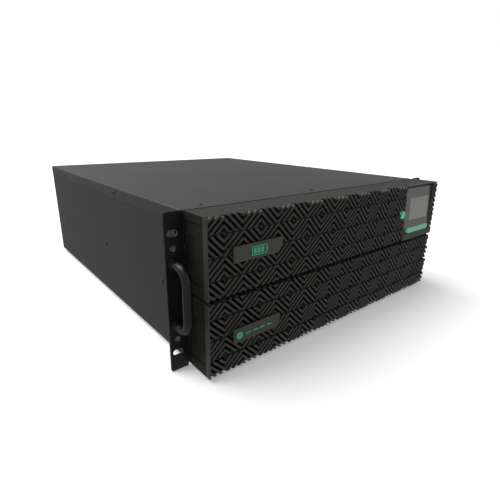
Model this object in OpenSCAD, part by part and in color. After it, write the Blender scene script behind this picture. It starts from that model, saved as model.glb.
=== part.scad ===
// Rack-mounted battery backup unit, 4 rack units high. Millimetres.
// Origin: middle of the rack slot pattern on the rear face of the ears.
// +X to the right seen from the front, +Y to the rear, +Z up.

/* [Rack ears] */
// Height in rack units
rack_units = 4; // [4:1:5]
// Overall width across both ears
panel_w = 482.6; // [470:0.1:500]
// Distance between the left and right slot columns
slot_span_x = 465.1; // [464:0.1:466]
// Thickness of the ear plates
ear_t = 2; // [1.5:0.25:3]
// End-to-end length of a mounting slot
slot_len = 12; // [9:0.5:14]
// Width of a mounting slot
slot_w = 7; // [5:0.5:8]
// Diameter of the round holes between the slots
ear_hole_d = 6.5; // [4:0.5:8]
// Length of the ear's leg along the case side
ear_leg_d = 24; // [16:1:40]

/* [Handles] */
// Diameter of the handle bar
bar_d = 10; // [7:0.5:12]
// Distance between the two legs of a handle, centre to centre
grip_span = 69; // [60:1:90]
// From the ear's front face to the middle of the bar
grip_reach = 25; // [20:1:36]
// Bend radius on the middle line of the bar
grip_bend = 14.5; // [9:0.5:18]

/* [Case] */
// Width of the case
case_w = 440; // [366:1:446]
// Depth of the case behind the ears
case_d = 526; // [430:1:640]
// Sheet thickness of case, lid, deck and rear panel
sheet_t = 1.5; // [1:0.1:2]
// Height of the lid's folded sides
lid_fold_h = 16; // [12:1:24]
// Height of the deck above the underside of the case
deck_up = 73; // [70:1:80]

/* [Bezels] */
// Depth of the bezels in front of the ears
bezel_d = 42; // [34:1:50]
// Gap between the upper and the lower bezel
bezel_gap = 4; // [2:0.5:8]
// Wall thickness of the bezel frames
bezel_wall = 3; // [2.4:0.2:4]
// Distance between neighbouring diamonds of the grille
diamond_pitch = 46.8; // [38:0.1:56]
// Width of one rib of the grille
rib_w = 2.8; // [2:0.1:3.6]
// Depth of the ribs
rib_d = 5; // [4:0.5:7]
// Height of a bezel latch
latch_h = 30; // [20:1:34]
// How far a latch presses in
latch_travel = 2.5; // [1.5:0.5:3]

/* [Display] */
// Width of the display recess
screen_w = 64; // [53:0.1:77]
// How far the top of the screen leans back
screen_lean = 3; // [2:0.5:9]
// Radius of the round end of the drop-shaped button
drop_r = 5; // [4:0.5:7]
// Travel of the drop-shaped button
drop_travel = 1.5; // [1:0.5:2]

/* [Power parts] */
// Size of the square cooling fans
fan_size = 80; // [66:1:84]
// Depth of the cooling fans
fan_d = 25; // [15:1:38]
// Blades on one fan rotor
fan_blades = 7; // [5:1:9]
// Radius of a cable gland hole in the terminal cover
gland_r = 14; // [8:0.5:16]
// Diameter of the ground stud
stud_d = 5; // [4:0.5:8]

/* [Hidden] */
$fn = 48;

// Rack standard
unit_h = 44.45;
panel_clear = 0.8;
panel_h = rack_units * unit_h - panel_clear;
hole_step = 15.875;
slot_span_z = (rack_units - 1) * unit_h;
hole_span_z = slot_span_z - 2 * hole_step;
ear_corner_r = 2;
ear_leg_inset = 12;

// Clearances
fit_gap = 0.3;
screw_gap = 0.1;
cut = 1;

// Case levels; the ears stand a little past the case above and below
ear_past_bottom = 3.9;
ear_past_top = 0.7;
case_bottom = -panel_h / 2 + ear_past_bottom;
case_top = panel_h / 2 - ear_past_top;
case_in_w = case_w - 2 * sheet_t;
lid_seam = case_top - lid_fold_h;
seam_gap = 0.4;
joggle_lap = 8;
floor_top = case_bottom + sheet_t;
deck_under = case_bottom + deck_up;
deck_top = deck_under + sheet_t;
deck_fold_h = 12;
deck_front = 6;
divider_back = 40;
front_panel_y = 3;
vent_cols = 14;
vent_rows = 3;
vent_margin = 30;
vent_share = 0.6;
vent_up = 18;
vent_h = 18;
vent_step = 28;
rear_in_y = case_d - sheet_t;

// Bezels
bezel_w = case_w - 1;
bezel_h = (case_top - case_bottom - bezel_gap) / 2;
bezel_front = -ear_t - bezel_d;
bezel_rear = -0.4;
web_t = 2;
grille_d = rib_d + web_t;
grille_rear = bezel_front + grille_d;
lower_z = case_bottom;
upper_z = case_top - bezel_h;
side_recess = 1.5;
recess_top_rim = 8;
recess_bottom_rim = 10;
filter_d = 6;
filter_drop_gap = 2;
first_column = 20.5;
first_row = 18.2;
ring_step = diamond_pitch / 6;
rib_half = rib_w / sqrt(2);
web_w = 3;
rim_w = 2;
left_border = 1.5;

// Latches
latch_w = 12;
latch_t = 2.5;
latch_back = 4.6;
latch_y = bezel_rear - latch_back - latch_w;
latch_up_upper = 30;
latch_up_lower = 30.3;
catch_over = 0.9;
catch_d = latch_travel + catch_over;
catch_w = 3;
catch_share = 0.4;

// Name plates
plate_w = 66.5;
plate_h = 17.5;
plate_t = 1.5;
plate_inset = 29.5;
plate_x = -bezel_w / 2 + plate_inset;
plate_corner = 7;
mark_t = 0.4;
upper_plate_up = 34.3;
lower_plate_up = 31.4;
upper_plate_z = upper_z + upper_plate_up;
lower_plate_z = lower_z + lower_plate_up;

// Display
screen_inset = 11;
screen_edge = 1.5;
strip_w = 12;
display_w = screen_inset + screen_w + screen_edge + strip_w;
window_x = bezel_w / 2 - display_w;
screen_x = window_x + screen_inset;
strip_x = bezel_w / 2 - strip_w;
chin_h = 9.8;
top_rim = 1.4;
screen_h = bezel_h - chin_h - top_rim;
lean_angle = atan(screen_lean / screen_h);
panel_t = 1;
lens_t = 1.5;
housing_d = 14;
bar_h = 8;
bar_t = 3;
bar_gap = 0.5;
panel_inset = 3;
panel_up = 10;
panel_down = 15;
lens_down = 3;
lens_up = bar_h + 2 * bar_gap;
lens_h = screen_h / cos(lean_angle) - lens_down - lens_up;
lcd_h = lens_h - panel_up - panel_down;
drop_margin = 1;
drop_inset = drop_r + drop_margin;
drop_up = 41;
drop_x = window_x - drop_inset;
drop_z = upper_z + drop_up;
drop_sunk = 0.7;
drop_keep = 1;
drop_proud = drop_travel - drop_sunk;
drop_len = grille_d + drop_proud + drop_keep;

// Screws
screw_head_r = 2.8;
screw_head_t = 1;
screw_shank_r = 1.5;
screw_len = 5;
cover_screw_y = 15;
cover_screw_inset = 31;
cover_screw_mid_x = -15;
fold_screw_y = 187;
fold_screw_back = 100;
deck_screw_y = 54;
deck_screw_mid_y = 241;
deck_screw_back = 74;
deck_screw_up = 5;
lid_screw_x = [-case_w / 2 + cover_screw_inset, cover_screw_mid_x, case_w / 2 - cover_screw_inset];
side_screw_spots = concat(
  [for (y = [fold_screw_y, case_d - fold_screw_back]) [y, lid_seam + lid_fold_h / 2]],
  [for (y = [deck_screw_y, deck_screw_mid_y, case_d - deck_screw_back]) [y, deck_top + deck_screw_up]]
);
rear_screw_inset = 7;
rear_screw_z = [floor_top + 8, deck_under - 8, case_top - 14];
rear_screw_spots = [for (s = [-1, 1], z = rear_screw_z) [s * (case_in_w / 2 - rear_screw_inset), z]];
ear_screw_inset = 25;
ear_screw_back = 10;
handle_screw_r = 2.4;
handle_screw_head_r = 4.2;
handle_screw_head_t = 2.6;
handle_screw_depth = 12;

// Fans and rear fittings
fan_margin = 12;
fan_gap = 6;
fan_x = [for (i = [0, 1]) -case_w / 2 + fan_margin + fan_size / 2 + i * (fan_size + fan_gap)];
fan_z = (deck_top + case_top - sheet_t) / 2;
fan_bore = fan_size - 3.4;
rotor_r = fan_bore / 2 - 1.3;
hub_r = 17;
hub_front = 2;
hub_back = 6;
blade_front = 2.5;
blade_back = 6.5;
blade_lead = 2;
blade_t = 1.6;
blade_angle = 38;
fan_front = rear_in_y - fan_d;
fan_edge = fan_x[1] + fan_size / 2;
spoke_w = 5;
spoke_d = 4;
guard_wire = 1.6;
guard_out = 3;
guard_rings = 4;
guard_step = fan_size / 9;
guard_strut = fan_size * 0.56;
guard_eye_at = fan_size * 0.54;
guard_eye_r = 3;
window_lip = 3;
term_inset = 62;
term_x = case_w / 2 - term_inset;
term_w = 84;
term_h = 58;
term_out = 26;
term_wall = 2;
term_lip = 8;
term_z = (deck_top + case_top) / 2;
block_inset = 9;
block_out = 6;
block_in = 18;
block_up = 14;
contact_r = 1.9;
contact_step = 12;
contact_d = 8;
gland_span = 40;
outlet_gap = 11;
outlet_out = 3;
outlet_in = 22;
outlet_lip = 4;
socket_pitch = 34;
socket_rows = 2;
socket_room = term_x - term_w / 2 - fan_edge - outlet_gap;
socket_cols = min(3, floor(socket_room / socket_pitch));
socket_d = 14;
pin_w = 2.4;
pin_h = 6.4;
pin_places = [[-7, -3], [7, -3], [0, 4]];
outlet_w = socket_cols * socket_pitch;
outlet_h = socket_rows * socket_pitch;
outlet_x = fan_edge + outlet_gap + outlet_w / 2;
low_z = (floor_top + deck_under) / 2;
port_inset = 30;
port_x = -case_w / 2 + port_inset;
port_w = 50;
port_h = 34;
port_out = 4;
port_in = 16;
port_body_w = 35;
port_body_h = 25;
port_screw_r = 2.4;
port_screw_out = 1.5;
port_screw_at = 20.5;
net_inset = 170;
net_x = case_w / 2 - net_inset;
net_w = 62;
net_h = 34;
net_t = 2;
net_window = 5;
thumb_r = 3.6;
thumb_out = 6;
thumb_inset = 6;
comm_inset = 98;
comm_x = case_w / 2 - comm_inset;
comm_w = 54;
comm_h = 34;
comm_t = 1.5;
comm_in = 10;
comm_body = [32, 22];
comm_window = [44, 26];
serial_size = [28, 4.5, 10];
serial_up = -4;
lan_size = [12, 2, 8];
lan_side = -2;
lan_up = 8;
breaker_inset = 44;
breaker_x = case_w / 2 - breaker_inset;
breaker_w = 36;
breaker_h = 52;
breaker_out = 9;
breaker_in = 30;
breaker_lip = 5;
rear_vent_from = 56;
rear_vent_step = 9;
rear_vent_gap = 10;
rear_vent_w = 4;
rear_vent_h = 13;
rear_vent_row = 18;
rear_vent_down = 24;
rear_vent_room = net_x - net_w / 2 - rear_vent_gap - port_x - rear_vent_from;
rear_vents = min(12, floor(rear_vent_room / rear_vent_step));
lever_r = 5;
lever_len = 15;
lever_w = 16;
lever_t = 4;
lever_tilt = 35;
lever_room = 2.2;
lever_step = 1;
stud_inset = 20;
stud_x = case_w / 2 - stud_inset;
stud_len = 12;
stud_in = 6;
stud_nut_t = 3;

// Power board
board_left = 24;
board_right = 36;
board_back = 90;
board_x = -case_w / 2 + board_left;
board_w = case_w - board_left - board_right;
board_mid_x = board_x + board_w / 2;
board_y = 40;
board_d = case_d - board_y - board_back;
board_t = 2;
standoff_h = 8;
standoff_r = 3;
standoff_inset = 8;
board_z = deck_top + standoff_h;
room_h = case_top - sheet_t - board_z - board_t;
sink_inset = 30;
sink_front = 60;
sink_back = 100;
sink_w = 62;
sink_base = 6;
sink_top_gap = 16;
sink_fins = 9;
fin_t = 1.6;
choke_d = 56;
choke_hole = 22;
choke_h = 30;
choke_back = 45;
choke_span = 70;
cap_d = 30;
cap_span = 36;
cap_step = 38;
cap_front = 40;
cap_gap = 8;
cap_top_gap = 24;
cap_room = board_d - choke_back - choke_d / 2 - cap_d / 2 - cap_gap - cap_front;
cap_rows = min(6, 1 + floor(cap_room / cap_step));

// Battery trays: two packs of six flat blocks
tray_t = 1.2;
tray_side_gap = 1;
tray_w = (case_in_w - sheet_t) / 2 - 2 * tray_side_gap;
tray_y = 1.5;
tray_back = 62;
tray_top_gap = 1.6;
tray_lift = 0.4;
tray_d = case_d - tray_back;
tray_h = deck_under - floor_top - tray_top_gap;
tray_z = floor_top + tray_lift;
loom_w = 25;
block_gap = 1.2;
block_w = (tray_w - 2 * tray_t - loom_w) / 2 - block_gap;
block_l = (tray_d - 2 * tray_t - 4 * block_gap) / 3;
block_top_gap = 3;
block_h = tray_h - tray_t - block_top_gap;
plug_w = 46;
plug_h = 22;
plug_out = 20;
plug_side = 54;
plug_up = 38.4;
plug_pin_r = 1.8;
plug_pin_d = 8;
plug_pin_at = 9.2;
pull_w = 60;
pull_h = 16;
pull_t = 2;
pull_out = 16;
pull_side = 43.2;
pull_up = 31.5;
knob_r = 6;
knob_cap_r = 10;
knob_cap_t = 5;

module mirrored(side) { if (side < 0) mirror([1, 0, 0]) children(); else children(); }

// A box from one corner to the other
module box(low, high) { translate(low) cube(high - low); }

// A cylinder along Y, from y to y + len
module along_y(r, y, len) { translate([0, y, 0]) rotate([-90, 0, 0]) cylinder(r = r, h = len); }

// A cylinder along X, from x to x + len
module along_x(r, x, len) { translate([x, 0, 0]) rotate([0, 90, 0]) cylinder(r = r, h = len); }

// A round-headed screw along -Z: head above z = 0, shank below
module screw_down(len = screw_len) {
  cylinder(r = screw_head_r, h = screw_head_t);
  translate([0, 0, -len]) cylinder(r = screw_shank_r, h = len);
}

module screw_hole_down() {
  translate([0, 0, -screw_len - cut]) cylinder(r = screw_shank_r + screw_gap, h = screw_len + cut);
}

// Places of the small case screws: lid top, lid folds, deck folds and side walls
module lid_screw_places() {
  for (x = lid_screw_x, y = [cover_screw_y, case_d - cover_screw_y]) translate([x, y, case_top]) children();
}

module side_screw_places() {
  for (s = [-1, 1], p = side_screw_spots)
    translate([s * case_w / 2, p[0], p[1]]) rotate([0, s * 90, 0]) children();
}

module case_tub() {
  color("#3d3d3b") difference() {
    union() {
      box([-case_w / 2, 0, case_bottom], [case_w / 2, rear_in_y, floor_top]);
      for (s = [0, 1]) mirror([s, 0, 0]) {
        box([case_w / 2 - sheet_t, 0, case_bottom], [case_w / 2, rear_in_y, lid_seam - seam_gap]);
        box([case_w / 2 - 2 * sheet_t, cut, lid_seam - joggle_lap],
            [case_w / 2 - sheet_t, rear_in_y, case_top - sheet_t]);
      }
    }
    side_screw_places() screw_hole_down();
    for (s = [-1, 1]) ear_screw_places(s) screw_hole_down();
  }
}

module deck() {
  color("#70706c") difference() {
    union() {
      box([-case_in_w / 2 + sheet_t, deck_front, deck_under],
          [case_in_w / 2 - sheet_t, rear_in_y - fit_gap, deck_top]);
      for (s = [0, 1]) mirror([s, 0, 0])
        box([case_in_w / 2 - sheet_t, deck_front, deck_under],
            [case_in_w / 2, rear_in_y - fit_gap, deck_under + deck_fold_h]);
    }
    side_screw_places() screw_hole_down();
  }
}

module bay_divider() {
  color("#70706c")
    box([-sheet_t / 2, deck_front, floor_top], [sheet_t / 2, case_d - divider_back, deck_under]);
}

module top_cover() {
  color("#545452") difference() {
    union() {
      box([-case_w / 2, 0, case_top - sheet_t], [case_w / 2, case_d, case_top]);
      for (s = [0, 1]) mirror([s, 0, 0])
        box([case_w / 2 - sheet_t, 0, lid_seam], [case_w / 2, case_d, case_top]);
    }
    lid_screw_places() screw_hole_down();
    side_screw_places() screw_hole_down();
  }
}

module case_screws() {
  color("#2c2c2b") {
    lid_screw_places() screw_down();
    side_screw_places() screw_down();
  }
}

// Vented plate behind the upper bezel
module front_panel() {
  step = (case_in_w - 2 * vent_margin) / vent_cols;
  color("#4a4a48") difference() {
    box([-case_in_w / 2 + sheet_t, front_panel_y, deck_top],
        [case_in_w / 2 - sheet_t, front_panel_y + sheet_t, case_top - sheet_t]);
    for (i = [0 : vent_cols - 1], j = [0 : vent_rows - 1])
      translate([-case_in_w / 2 + vent_margin + (i + 0.5) * step, front_panel_y - cut,
                 deck_top + vent_up + j * vent_step])
        cube([step * vent_share, sheet_t + 2 * cut, vent_h]);
  }
}

// Ear plates
module ear_screw_places(side) {
  for (z = [-1 : 2 / 3 : 1])
    translate([side * (case_w / 2 + ear_t), ear_leg_d - ear_screw_back, z * (panel_h / 2 - ear_screw_inset)])
      rotate([0, side * 90, 0]) children();
}

module slot_cut() {
  for (s = [-1, 1]) translate([s * (slot_len - slot_w) / 2, 0, 0])
    along_y(slot_w / 2, -ear_t - cut, ear_t + 2 * cut);
  box([-(slot_len - slot_w) / 2, -ear_t - cut, -slot_w / 2], [(slot_len - slot_w) / 2, cut, slot_w / 2]);
}

module ear(side) {
  inner_x = case_w / 2;
  outer_x = panel_w / 2;
  difference() {
    union() {
      mirrored(side) {
        rotate([90, 0, 0]) linear_extrude(ear_t) ear_outline(inner_x, outer_x);
        box([inner_x, -ear_t, -panel_h / 2 + ear_leg_inset],
            [inner_x + ear_t, ear_leg_d, panel_h / 2 - ear_leg_inset]);
      }
    }
    for (z = [-1, 1]) translate([side * slot_span_x / 2, 0, z * slot_span_z / 2]) slot_cut();
    for (z = [-1, 1]) translate([side * slot_span_x / 2, 0, z * hole_span_z / 2])
      along_y(ear_hole_d / 2, -ear_t - cut, ear_t + 2 * cut);
    for (z = [-1, 1]) translate([side * slot_span_x / 2, 0, z * grip_span / 2])
      along_y(handle_screw_r + screw_gap, -ear_t - cut, ear_t + 2 * cut);
    ear_screw_places(side) screw_hole_down();
  }
}

// Flange outline with rounded outer corners
module ear_outline(inner_x, outer_x) {
  translate([inner_x, -panel_h / 2]) square([outer_x - inner_x - ear_corner_r, panel_h]);
  translate([inner_x, -panel_h / 2 + ear_corner_r]) square([outer_x - inner_x, panel_h - 2 * ear_corner_r]);
  for (s = [-1, 1]) translate([outer_x - ear_corner_r, s * (panel_h / 2 - ear_corner_r)]) circle(ear_corner_r);
}

module ear_left() { color("#18181c") ear(-1); }
module ear_right() { color("#18181c") ear(1); }
module ear_screws() { color("#2c2c2b") for (s = [-1, 1]) ear_screw_places(s) screw_down(ear_t + sheet_t); }

// Round-bar handle in front of an ear
module handle(side) {
  arc_z = grip_span / 2 - grip_bend;
  arc_y = -ear_t - grip_reach + grip_bend;
  translate([side * slot_span_x / 2, 0, 0]) difference() {
    union() {
      translate([0, -ear_t - grip_reach, -arc_z]) cylinder(d = bar_d, h = 2 * arc_z);
      for (s = [0, 1]) mirror([0, 0, s]) {
        translate([0, arc_y, arc_z]) rotate([90, 0, -90])
          rotate_extrude(angle = 90) translate([grip_bend, 0]) circle(d = bar_d);
        translate([0, 0, grip_span / 2]) along_y(bar_d / 2, arc_y, -ear_t - arc_y);
      }
    }
    for (s = [-1, 1]) translate([0, 0, s * grip_span / 2])
      along_y(handle_screw_r + screw_gap, -ear_t - handle_screw_depth - cut, handle_screw_depth + 2 * cut);
  }
}

module handle_left() { color("#34332d") handle(-1); }
module handle_right() { color("#34332d") handle(1); }

module handle_screws() {
  color("#8a8a88") for (x = [-1, 1], z = [-1, 1]) translate([x * slot_span_x / 2, 0, z * grip_span / 2]) {
    along_y(handle_screw_head_r, 0, handle_screw_head_t);
    along_y(handle_screw_r, -ear_t - handle_screw_depth, handle_screw_depth + ear_t);
  }
}

// Bezel frame: four walls, shallow side recesses, an opening for each latch
module bezel_frame(z0, latch_up) {
  difference() {
    box([-bezel_w / 2, grille_rear, z0], [bezel_w / 2, bezel_rear, z0 + bezel_h]);
    box([-bezel_w / 2 + bezel_wall, grille_rear - cut, z0 + bezel_wall],
        [bezel_w / 2 - bezel_wall, bezel_rear + cut, z0 + bezel_h - bezel_wall]);
    for (s = [0, 1]) mirror([s, 0, 0]) {
      box([bezel_w / 2 - side_recess, grille_rear, z0 + recess_bottom_rim],
          [bezel_w / 2 + cut, bezel_rear + cut, z0 + bezel_h - recess_top_rim]);
      box([bezel_w / 2 - bezel_wall - cut, latch_y - fit_gap, z0 + latch_up - fit_gap],
          [bezel_w / 2 + cut, latch_y + latch_w + fit_gap, z0 + latch_up + latch_h + fit_gap]);
    }
  }
}

// Sprung tab flush with the recess, with a rear catch
module latch(side, z0) {
  face = bezel_w / 2 - side_recess;
  mirrored(side) {
    box([face - latch_t, latch_y, z0], [face, latch_y + latch_w, z0 + latch_h]);
    box([face - latch_t - catch_d, latch_y, z0 + latch_h * (1 - catch_share) / 2],
        [face - latch_t, latch_y + catch_w, z0 + latch_h * (1 + catch_share) / 2]);
  }
}

// Concentric diamond ribs
module diamond(half) { rotate(45) square(half * sqrt(2), center = true); }

module channel(k) {
  difference() {
    diamond((k + 1) * ring_step - rib_half);
    diamond(k * ring_step + rib_half);
  }
}

module channels() {
  columns = ceil(bezel_w / diamond_pitch);
  rows = ceil(bezel_h / diamond_pitch);
  for (i = [-1 : columns], j = [-1 : rows], s = [0, 0.5])
    translate([first_column + (i + s) * diamond_pitch, bezel_h - first_row - (j + s) * diamond_pitch])
      for (k = [0 : 2]) channel(k);
}

module ribbed_face() {
  difference() {
    square([bezel_w, bezel_h]);
    channels();
  }
  square([left_border, bezel_h]);
}

module web_face() {
  rows = floor(2 * bezel_h / diamond_pitch);
  difference() {
    square([bezel_w, bezel_h]);
    translate([rim_w, rim_w]) square([bezel_w - 2 * rim_w, bezel_h - 2 * rim_w]);
  }
  for (j = [0 : rows]) if (bezel_h - first_row - j * diamond_pitch / 2 > web_w)
    translate([0, bezel_h - first_row - j * diamond_pitch / 2 - web_w / 2]) square([bezel_w, web_w]);
}

// Stands a face drawn in X and Z upright: its front at y0, depth d
module upright(y0, d, z0) {
  translate([-bezel_w / 2, y0 + d, z0]) rotate([90, 0, 0]) linear_extrude(d) children();
}

module grille(z0) {
  upright(bezel_front, rib_d, z0) ribbed_face();
  upright(bezel_front + rib_d, grille_d - rib_d, z0) web_face();
}

module drop_shape(r) {
  circle(r);
  rotate(45) square(r);
}

module drop_cut() {
  translate([drop_x, grille_rear + cut, drop_z]) rotate([90, 0, 0])
    linear_extrude(grille_d + 2 * cut) drop_shape(drop_r + fit_gap);
}

module upper_bezel() { color("#4e4e49") bezel_frame(upper_z, latch_up_upper); }

module upper_grille() {
  color("#3a3a37") difference() {
    union() {
      grille(upper_z);
      upright(bezel_front + rib_d, grille_d - rib_d, upper_z)
        translate([window_x - rim_w + bezel_w / 2, 0]) square([rim_w, bezel_h]);
    }
    box([window_x, bezel_front - cut, upper_z - cut],
        [bezel_w / 2 + cut, grille_rear + cut, upper_z + bezel_h + cut]);
    drop_cut();
  }
}

module filter(z0, right) {
  box([-bezel_w / 2 + bezel_wall + fit_gap, grille_rear, z0 + bezel_wall + fit_gap],
      [right, grille_rear + filter_d, z0 + bezel_h - bezel_wall - fit_gap]);
}

module upper_filter() { color("#101010") filter(upper_z, drop_x - drop_r - filter_drop_gap); }
module upper_latch_left() { color("#262626") latch(-1, upper_z + latch_up_upper); }
module upper_latch_right() { color("#262626") latch(1, upper_z + latch_up_upper); }
module lower_bezel() { color("#4e4e49") bezel_frame(lower_z, latch_up_lower); }
module lower_grille() { color("#3a3a37") grille(lower_z); }
module lower_filter() { color("#101010") filter(lower_z, bezel_w / 2 - bezel_wall - fit_gap); }
module lower_latch_left() { color("#262626") latch(-1, lower_z + latch_up_lower); }
module lower_latch_right() { color("#262626") latch(1, lower_z + latch_up_lower); }

// Blank name plate with one cut corner
module name_plate(z0) {
  translate([plate_x, bezel_front, z0]) rotate([90, 0, 0]) linear_extrude(plate_t)
    polygon([[0, 0], [plate_w - plate_corner, 0], [plate_w, plate_corner], [plate_w, plate_h], [0, plate_h]]);
}

module upper_plate() { color("#33322d") name_plate(upper_plate_z); }
module lower_plate() { color("#33322d") name_plate(lower_plate_z); }

// Plain battery sign: outline, pole and three charge bars
module upper_plate_mark() {
  sign_w = 20;
  sign_h = 10;
  line = 1;
  charge_w = 4;
  pole_w = 1.5;
  pole_h = 4;
  sign_x = plate_x + (plate_w - sign_w) / 2;
  sign_z = upper_plate_z + (plate_h - sign_h) / 2;
  color("#50b482") translate([sign_x, bezel_front - plate_t, sign_z])
    rotate([90, 0, 0]) linear_extrude(mark_t) {
      difference() {
        square([sign_w, sign_h]);
        translate([line, line]) square([sign_w - 2 * line, sign_h - 2 * line]);
      }
      translate([sign_w, (sign_h - pole_h) / 2]) square([pole_w, pole_h]);
      for (i = [0 : 2]) translate([2 * line + i * (charge_w + line), 2 * line])
        square([charge_w, sign_h - 4 * line]);
    }
}

// Plain round dot with a row of dashes
module lower_plate_mark() {
  dot_r = 4.3;
  dot_inset = 8;
  dashes = 4;
  dash_w = 7;
  dash_h = 1.6;
  dash_gap = 3;
  first_dash = 4;
  color("#50b482") translate([plate_x + dot_inset, bezel_front - plate_t, lower_plate_z + plate_h / 2])
    rotate([90, 0, 0]) linear_extrude(mark_t) {
      circle(dot_r);
      for (i = [0 : dashes - 1]) translate([dot_r + first_dash + i * (dash_w + dash_gap), -dash_h / 2])
        square([dash_w, dash_h]);
    }
}

// Places things on the leaning screen plane: X across, Z up the slope, -Y out of it
module on_screen(up) {
  translate([screen_x, bezel_front + bar_t, upper_z + chin_h]) rotate([-lean_angle, 0, 0])
    translate([0, 0, up]) children();
}

module display_housing() {
  color("#4c4c46") {
    difference() {
      union() {
        box([window_x, bezel_front, upper_z], [strip_x, grille_rear, upper_z + bezel_h]);
        box([strip_x, bezel_front, upper_z], [bezel_w / 2, grille_rear, upper_z + chin_h]);
        box([window_x, grille_rear, upper_z + bezel_wall + fit_gap],
            [strip_x, bezel_front + housing_d, upper_z + bezel_h - bezel_wall - fit_gap]);
      }
      intersection() {
        on_screen(0) translate([-screen_inset - cut, -2 * housing_d, 0])
          cube([screen_w + screen_inset + cut, 2 * housing_d, 2 * screen_h]);
        box([window_x - cut, bezel_front - cut, upper_z],
            [screen_x + screen_w + cut, 0, upper_z + bezel_h - top_rim]);
      }
    }
    intersection() {
      grille(upper_z);
      box([strip_x, bezel_front - cut, upper_z + chin_h], [bezel_w / 2 + cut, 0, case_top + cut]);
    }
  }
}

module display_panel() {
  color("#787876") on_screen(lens_up + panel_up)
    translate([panel_inset, -panel_t, 0]) cube([screen_w - 2 * panel_inset, panel_t, lcd_h]);
}

module display_lens() {
  color("#5a5a58") on_screen(lens_up) difference() {
    translate([bar_gap, -panel_t - lens_t, 0]) cube([screen_w - 2 * bar_gap, panel_t + lens_t, lens_h]);
    translate([panel_inset - screw_gap, -panel_t - screw_gap, panel_up - screw_gap])
      cube([screen_w - 2 * panel_inset + 2 * screw_gap, panel_t + cut, lcd_h + 2 * screw_gap]);
  }
}

module status_bar() {
  color("#5fb48c") on_screen(bar_gap) translate([bar_gap, -bar_t, bar_h / 2]) {
    end_r = bar_h / 2;
    translate([end_r, 0, -end_r]) cube([screen_w - 2 * bar_gap - bar_h, bar_t, bar_h]);
    for (x = [end_r, screen_w - 2 * bar_gap - end_r]) translate([x, 0, 0]) along_y(end_r, 0, bar_t);
  }
}

module drop_button() {
  color("#3ca56e") translate([drop_x, bezel_front - drop_proud + drop_len, drop_z])
    rotate([90, 0, 0]) linear_extrude(drop_len) drop_shape(drop_r);
}

// Battery packs
module tray_place(side) {
  translate([side * (sheet_t / 2 + tray_side_gap + tray_w / 2), tray_y, tray_z]) children();
}

module battery_tray(side) {
  tray_place(side) difference() {
    translate([-tray_w / 2, 0, 0]) cube([tray_w, tray_d, tray_h]);
    translate([-tray_w / 2 + tray_t, tray_t, tray_t]) cube([tray_w - 2 * tray_t, tray_d - 2 * tray_t, tray_h]);
  }
}

module battery_cells(side) {
  inner_w = tray_w - 2 * tray_t;
  tray_place(side) for (i = [0, 1], j = [0 : 2])
    translate([(i == 0 ? -1 : 1) * inner_w / 2 - (i == 0 ? -block_gap : block_gap + block_w),
               tray_t + block_gap + j * (block_l + block_gap), tray_t])
      cube([block_w, block_l, block_h]);
}

module battery_plug(side) {
  tray_place(side) translate([side * plug_side, -plug_out, plug_up]) difference() {
    translate([-plug_w / 2, 0, 0]) cube([plug_w, plug_out, plug_h]);
    for (s = [-1, 1]) translate([s * plug_pin_at, 0, plug_h / 2]) along_y(plug_pin_r, -cut, plug_pin_d + cut);
  }
}

module battery_pull(side) {
  tray_place(side) translate([-side * pull_side, 0, pull_up]) {
    translate([-pull_w / 2, -pull_t, -pull_h / 2]) cube([pull_w, pull_t, pull_h]);
    along_y(knob_r, -pull_out, pull_out - pull_t);
    along_y(knob_cap_r, -pull_out - knob_cap_t, knob_cap_t);
  }
}

module battery_tray_left() { color("#8e8e8a") battery_tray(-1); }
module battery_tray_right() { color("#8e8e8a") battery_tray(1); }
module battery_cells_left() { color("#2a2c30") battery_cells(-1); }
module battery_cells_right() { color("#2a2c30") battery_cells(1); }
module battery_plug_left() { color("#a32a22") battery_plug(-1); }
module battery_plug_right() { color("#a32a22") battery_plug(1); }
module battery_pull_left() { color("#1e1e1e") battery_pull(-1); }
module battery_pull_right() { color("#1e1e1e") battery_pull(1); }

// Power stage on the deck
module power_board() {
  color("#2f5b3a") translate([board_x, board_y, board_z]) {
    cube([board_w, board_d, board_t]);
    for (x = [standoff_inset, board_w / 2, board_w - standoff_inset],
         y = [standoff_inset, board_d - standoff_inset])
      translate([x, y, -standoff_h]) cylinder(r = standoff_r, h = standoff_h);
  }
}

module heatsink(x) {
  sink_d = board_d - sink_front - sink_back;
  fin_h = room_h - sink_top_gap - sink_base;
  translate([x, board_y + sink_front, board_z + board_t]) {
    cube([sink_w, sink_d, sink_base]);
    for (i = [0 : sink_fins - 1]) translate([i * (sink_w - fin_t) / (sink_fins - 1), 0, sink_base])
      cube([fin_t, sink_d, fin_h]);
  }
}

module heatsinks() {
  color("#b0b2b5") for (x = [board_x + sink_inset, board_x + board_w - sink_w - sink_inset]) heatsink(x);
}

module capacitors() {
  color("#22272f") for (i = [0 : cap_rows - 1], s = [-1, 1])
    translate([board_mid_x + s * cap_span / 2, board_y + cap_front + i * cap_step, board_z + board_t])
      cylinder(d = cap_d, h = room_h - cap_top_gap);
}

module chokes() {
  color("#9a5a2c") for (s = [-1, 1])
    translate([board_mid_x + s * choke_span / 2, board_y + board_d - choke_back, board_z + board_t])
      difference() {
        cylinder(d = choke_d, h = choke_h);
        translate([0, 0, -cut]) cylinder(d = choke_hole, h = choke_h + 2 * cut);
      }
}

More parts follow.
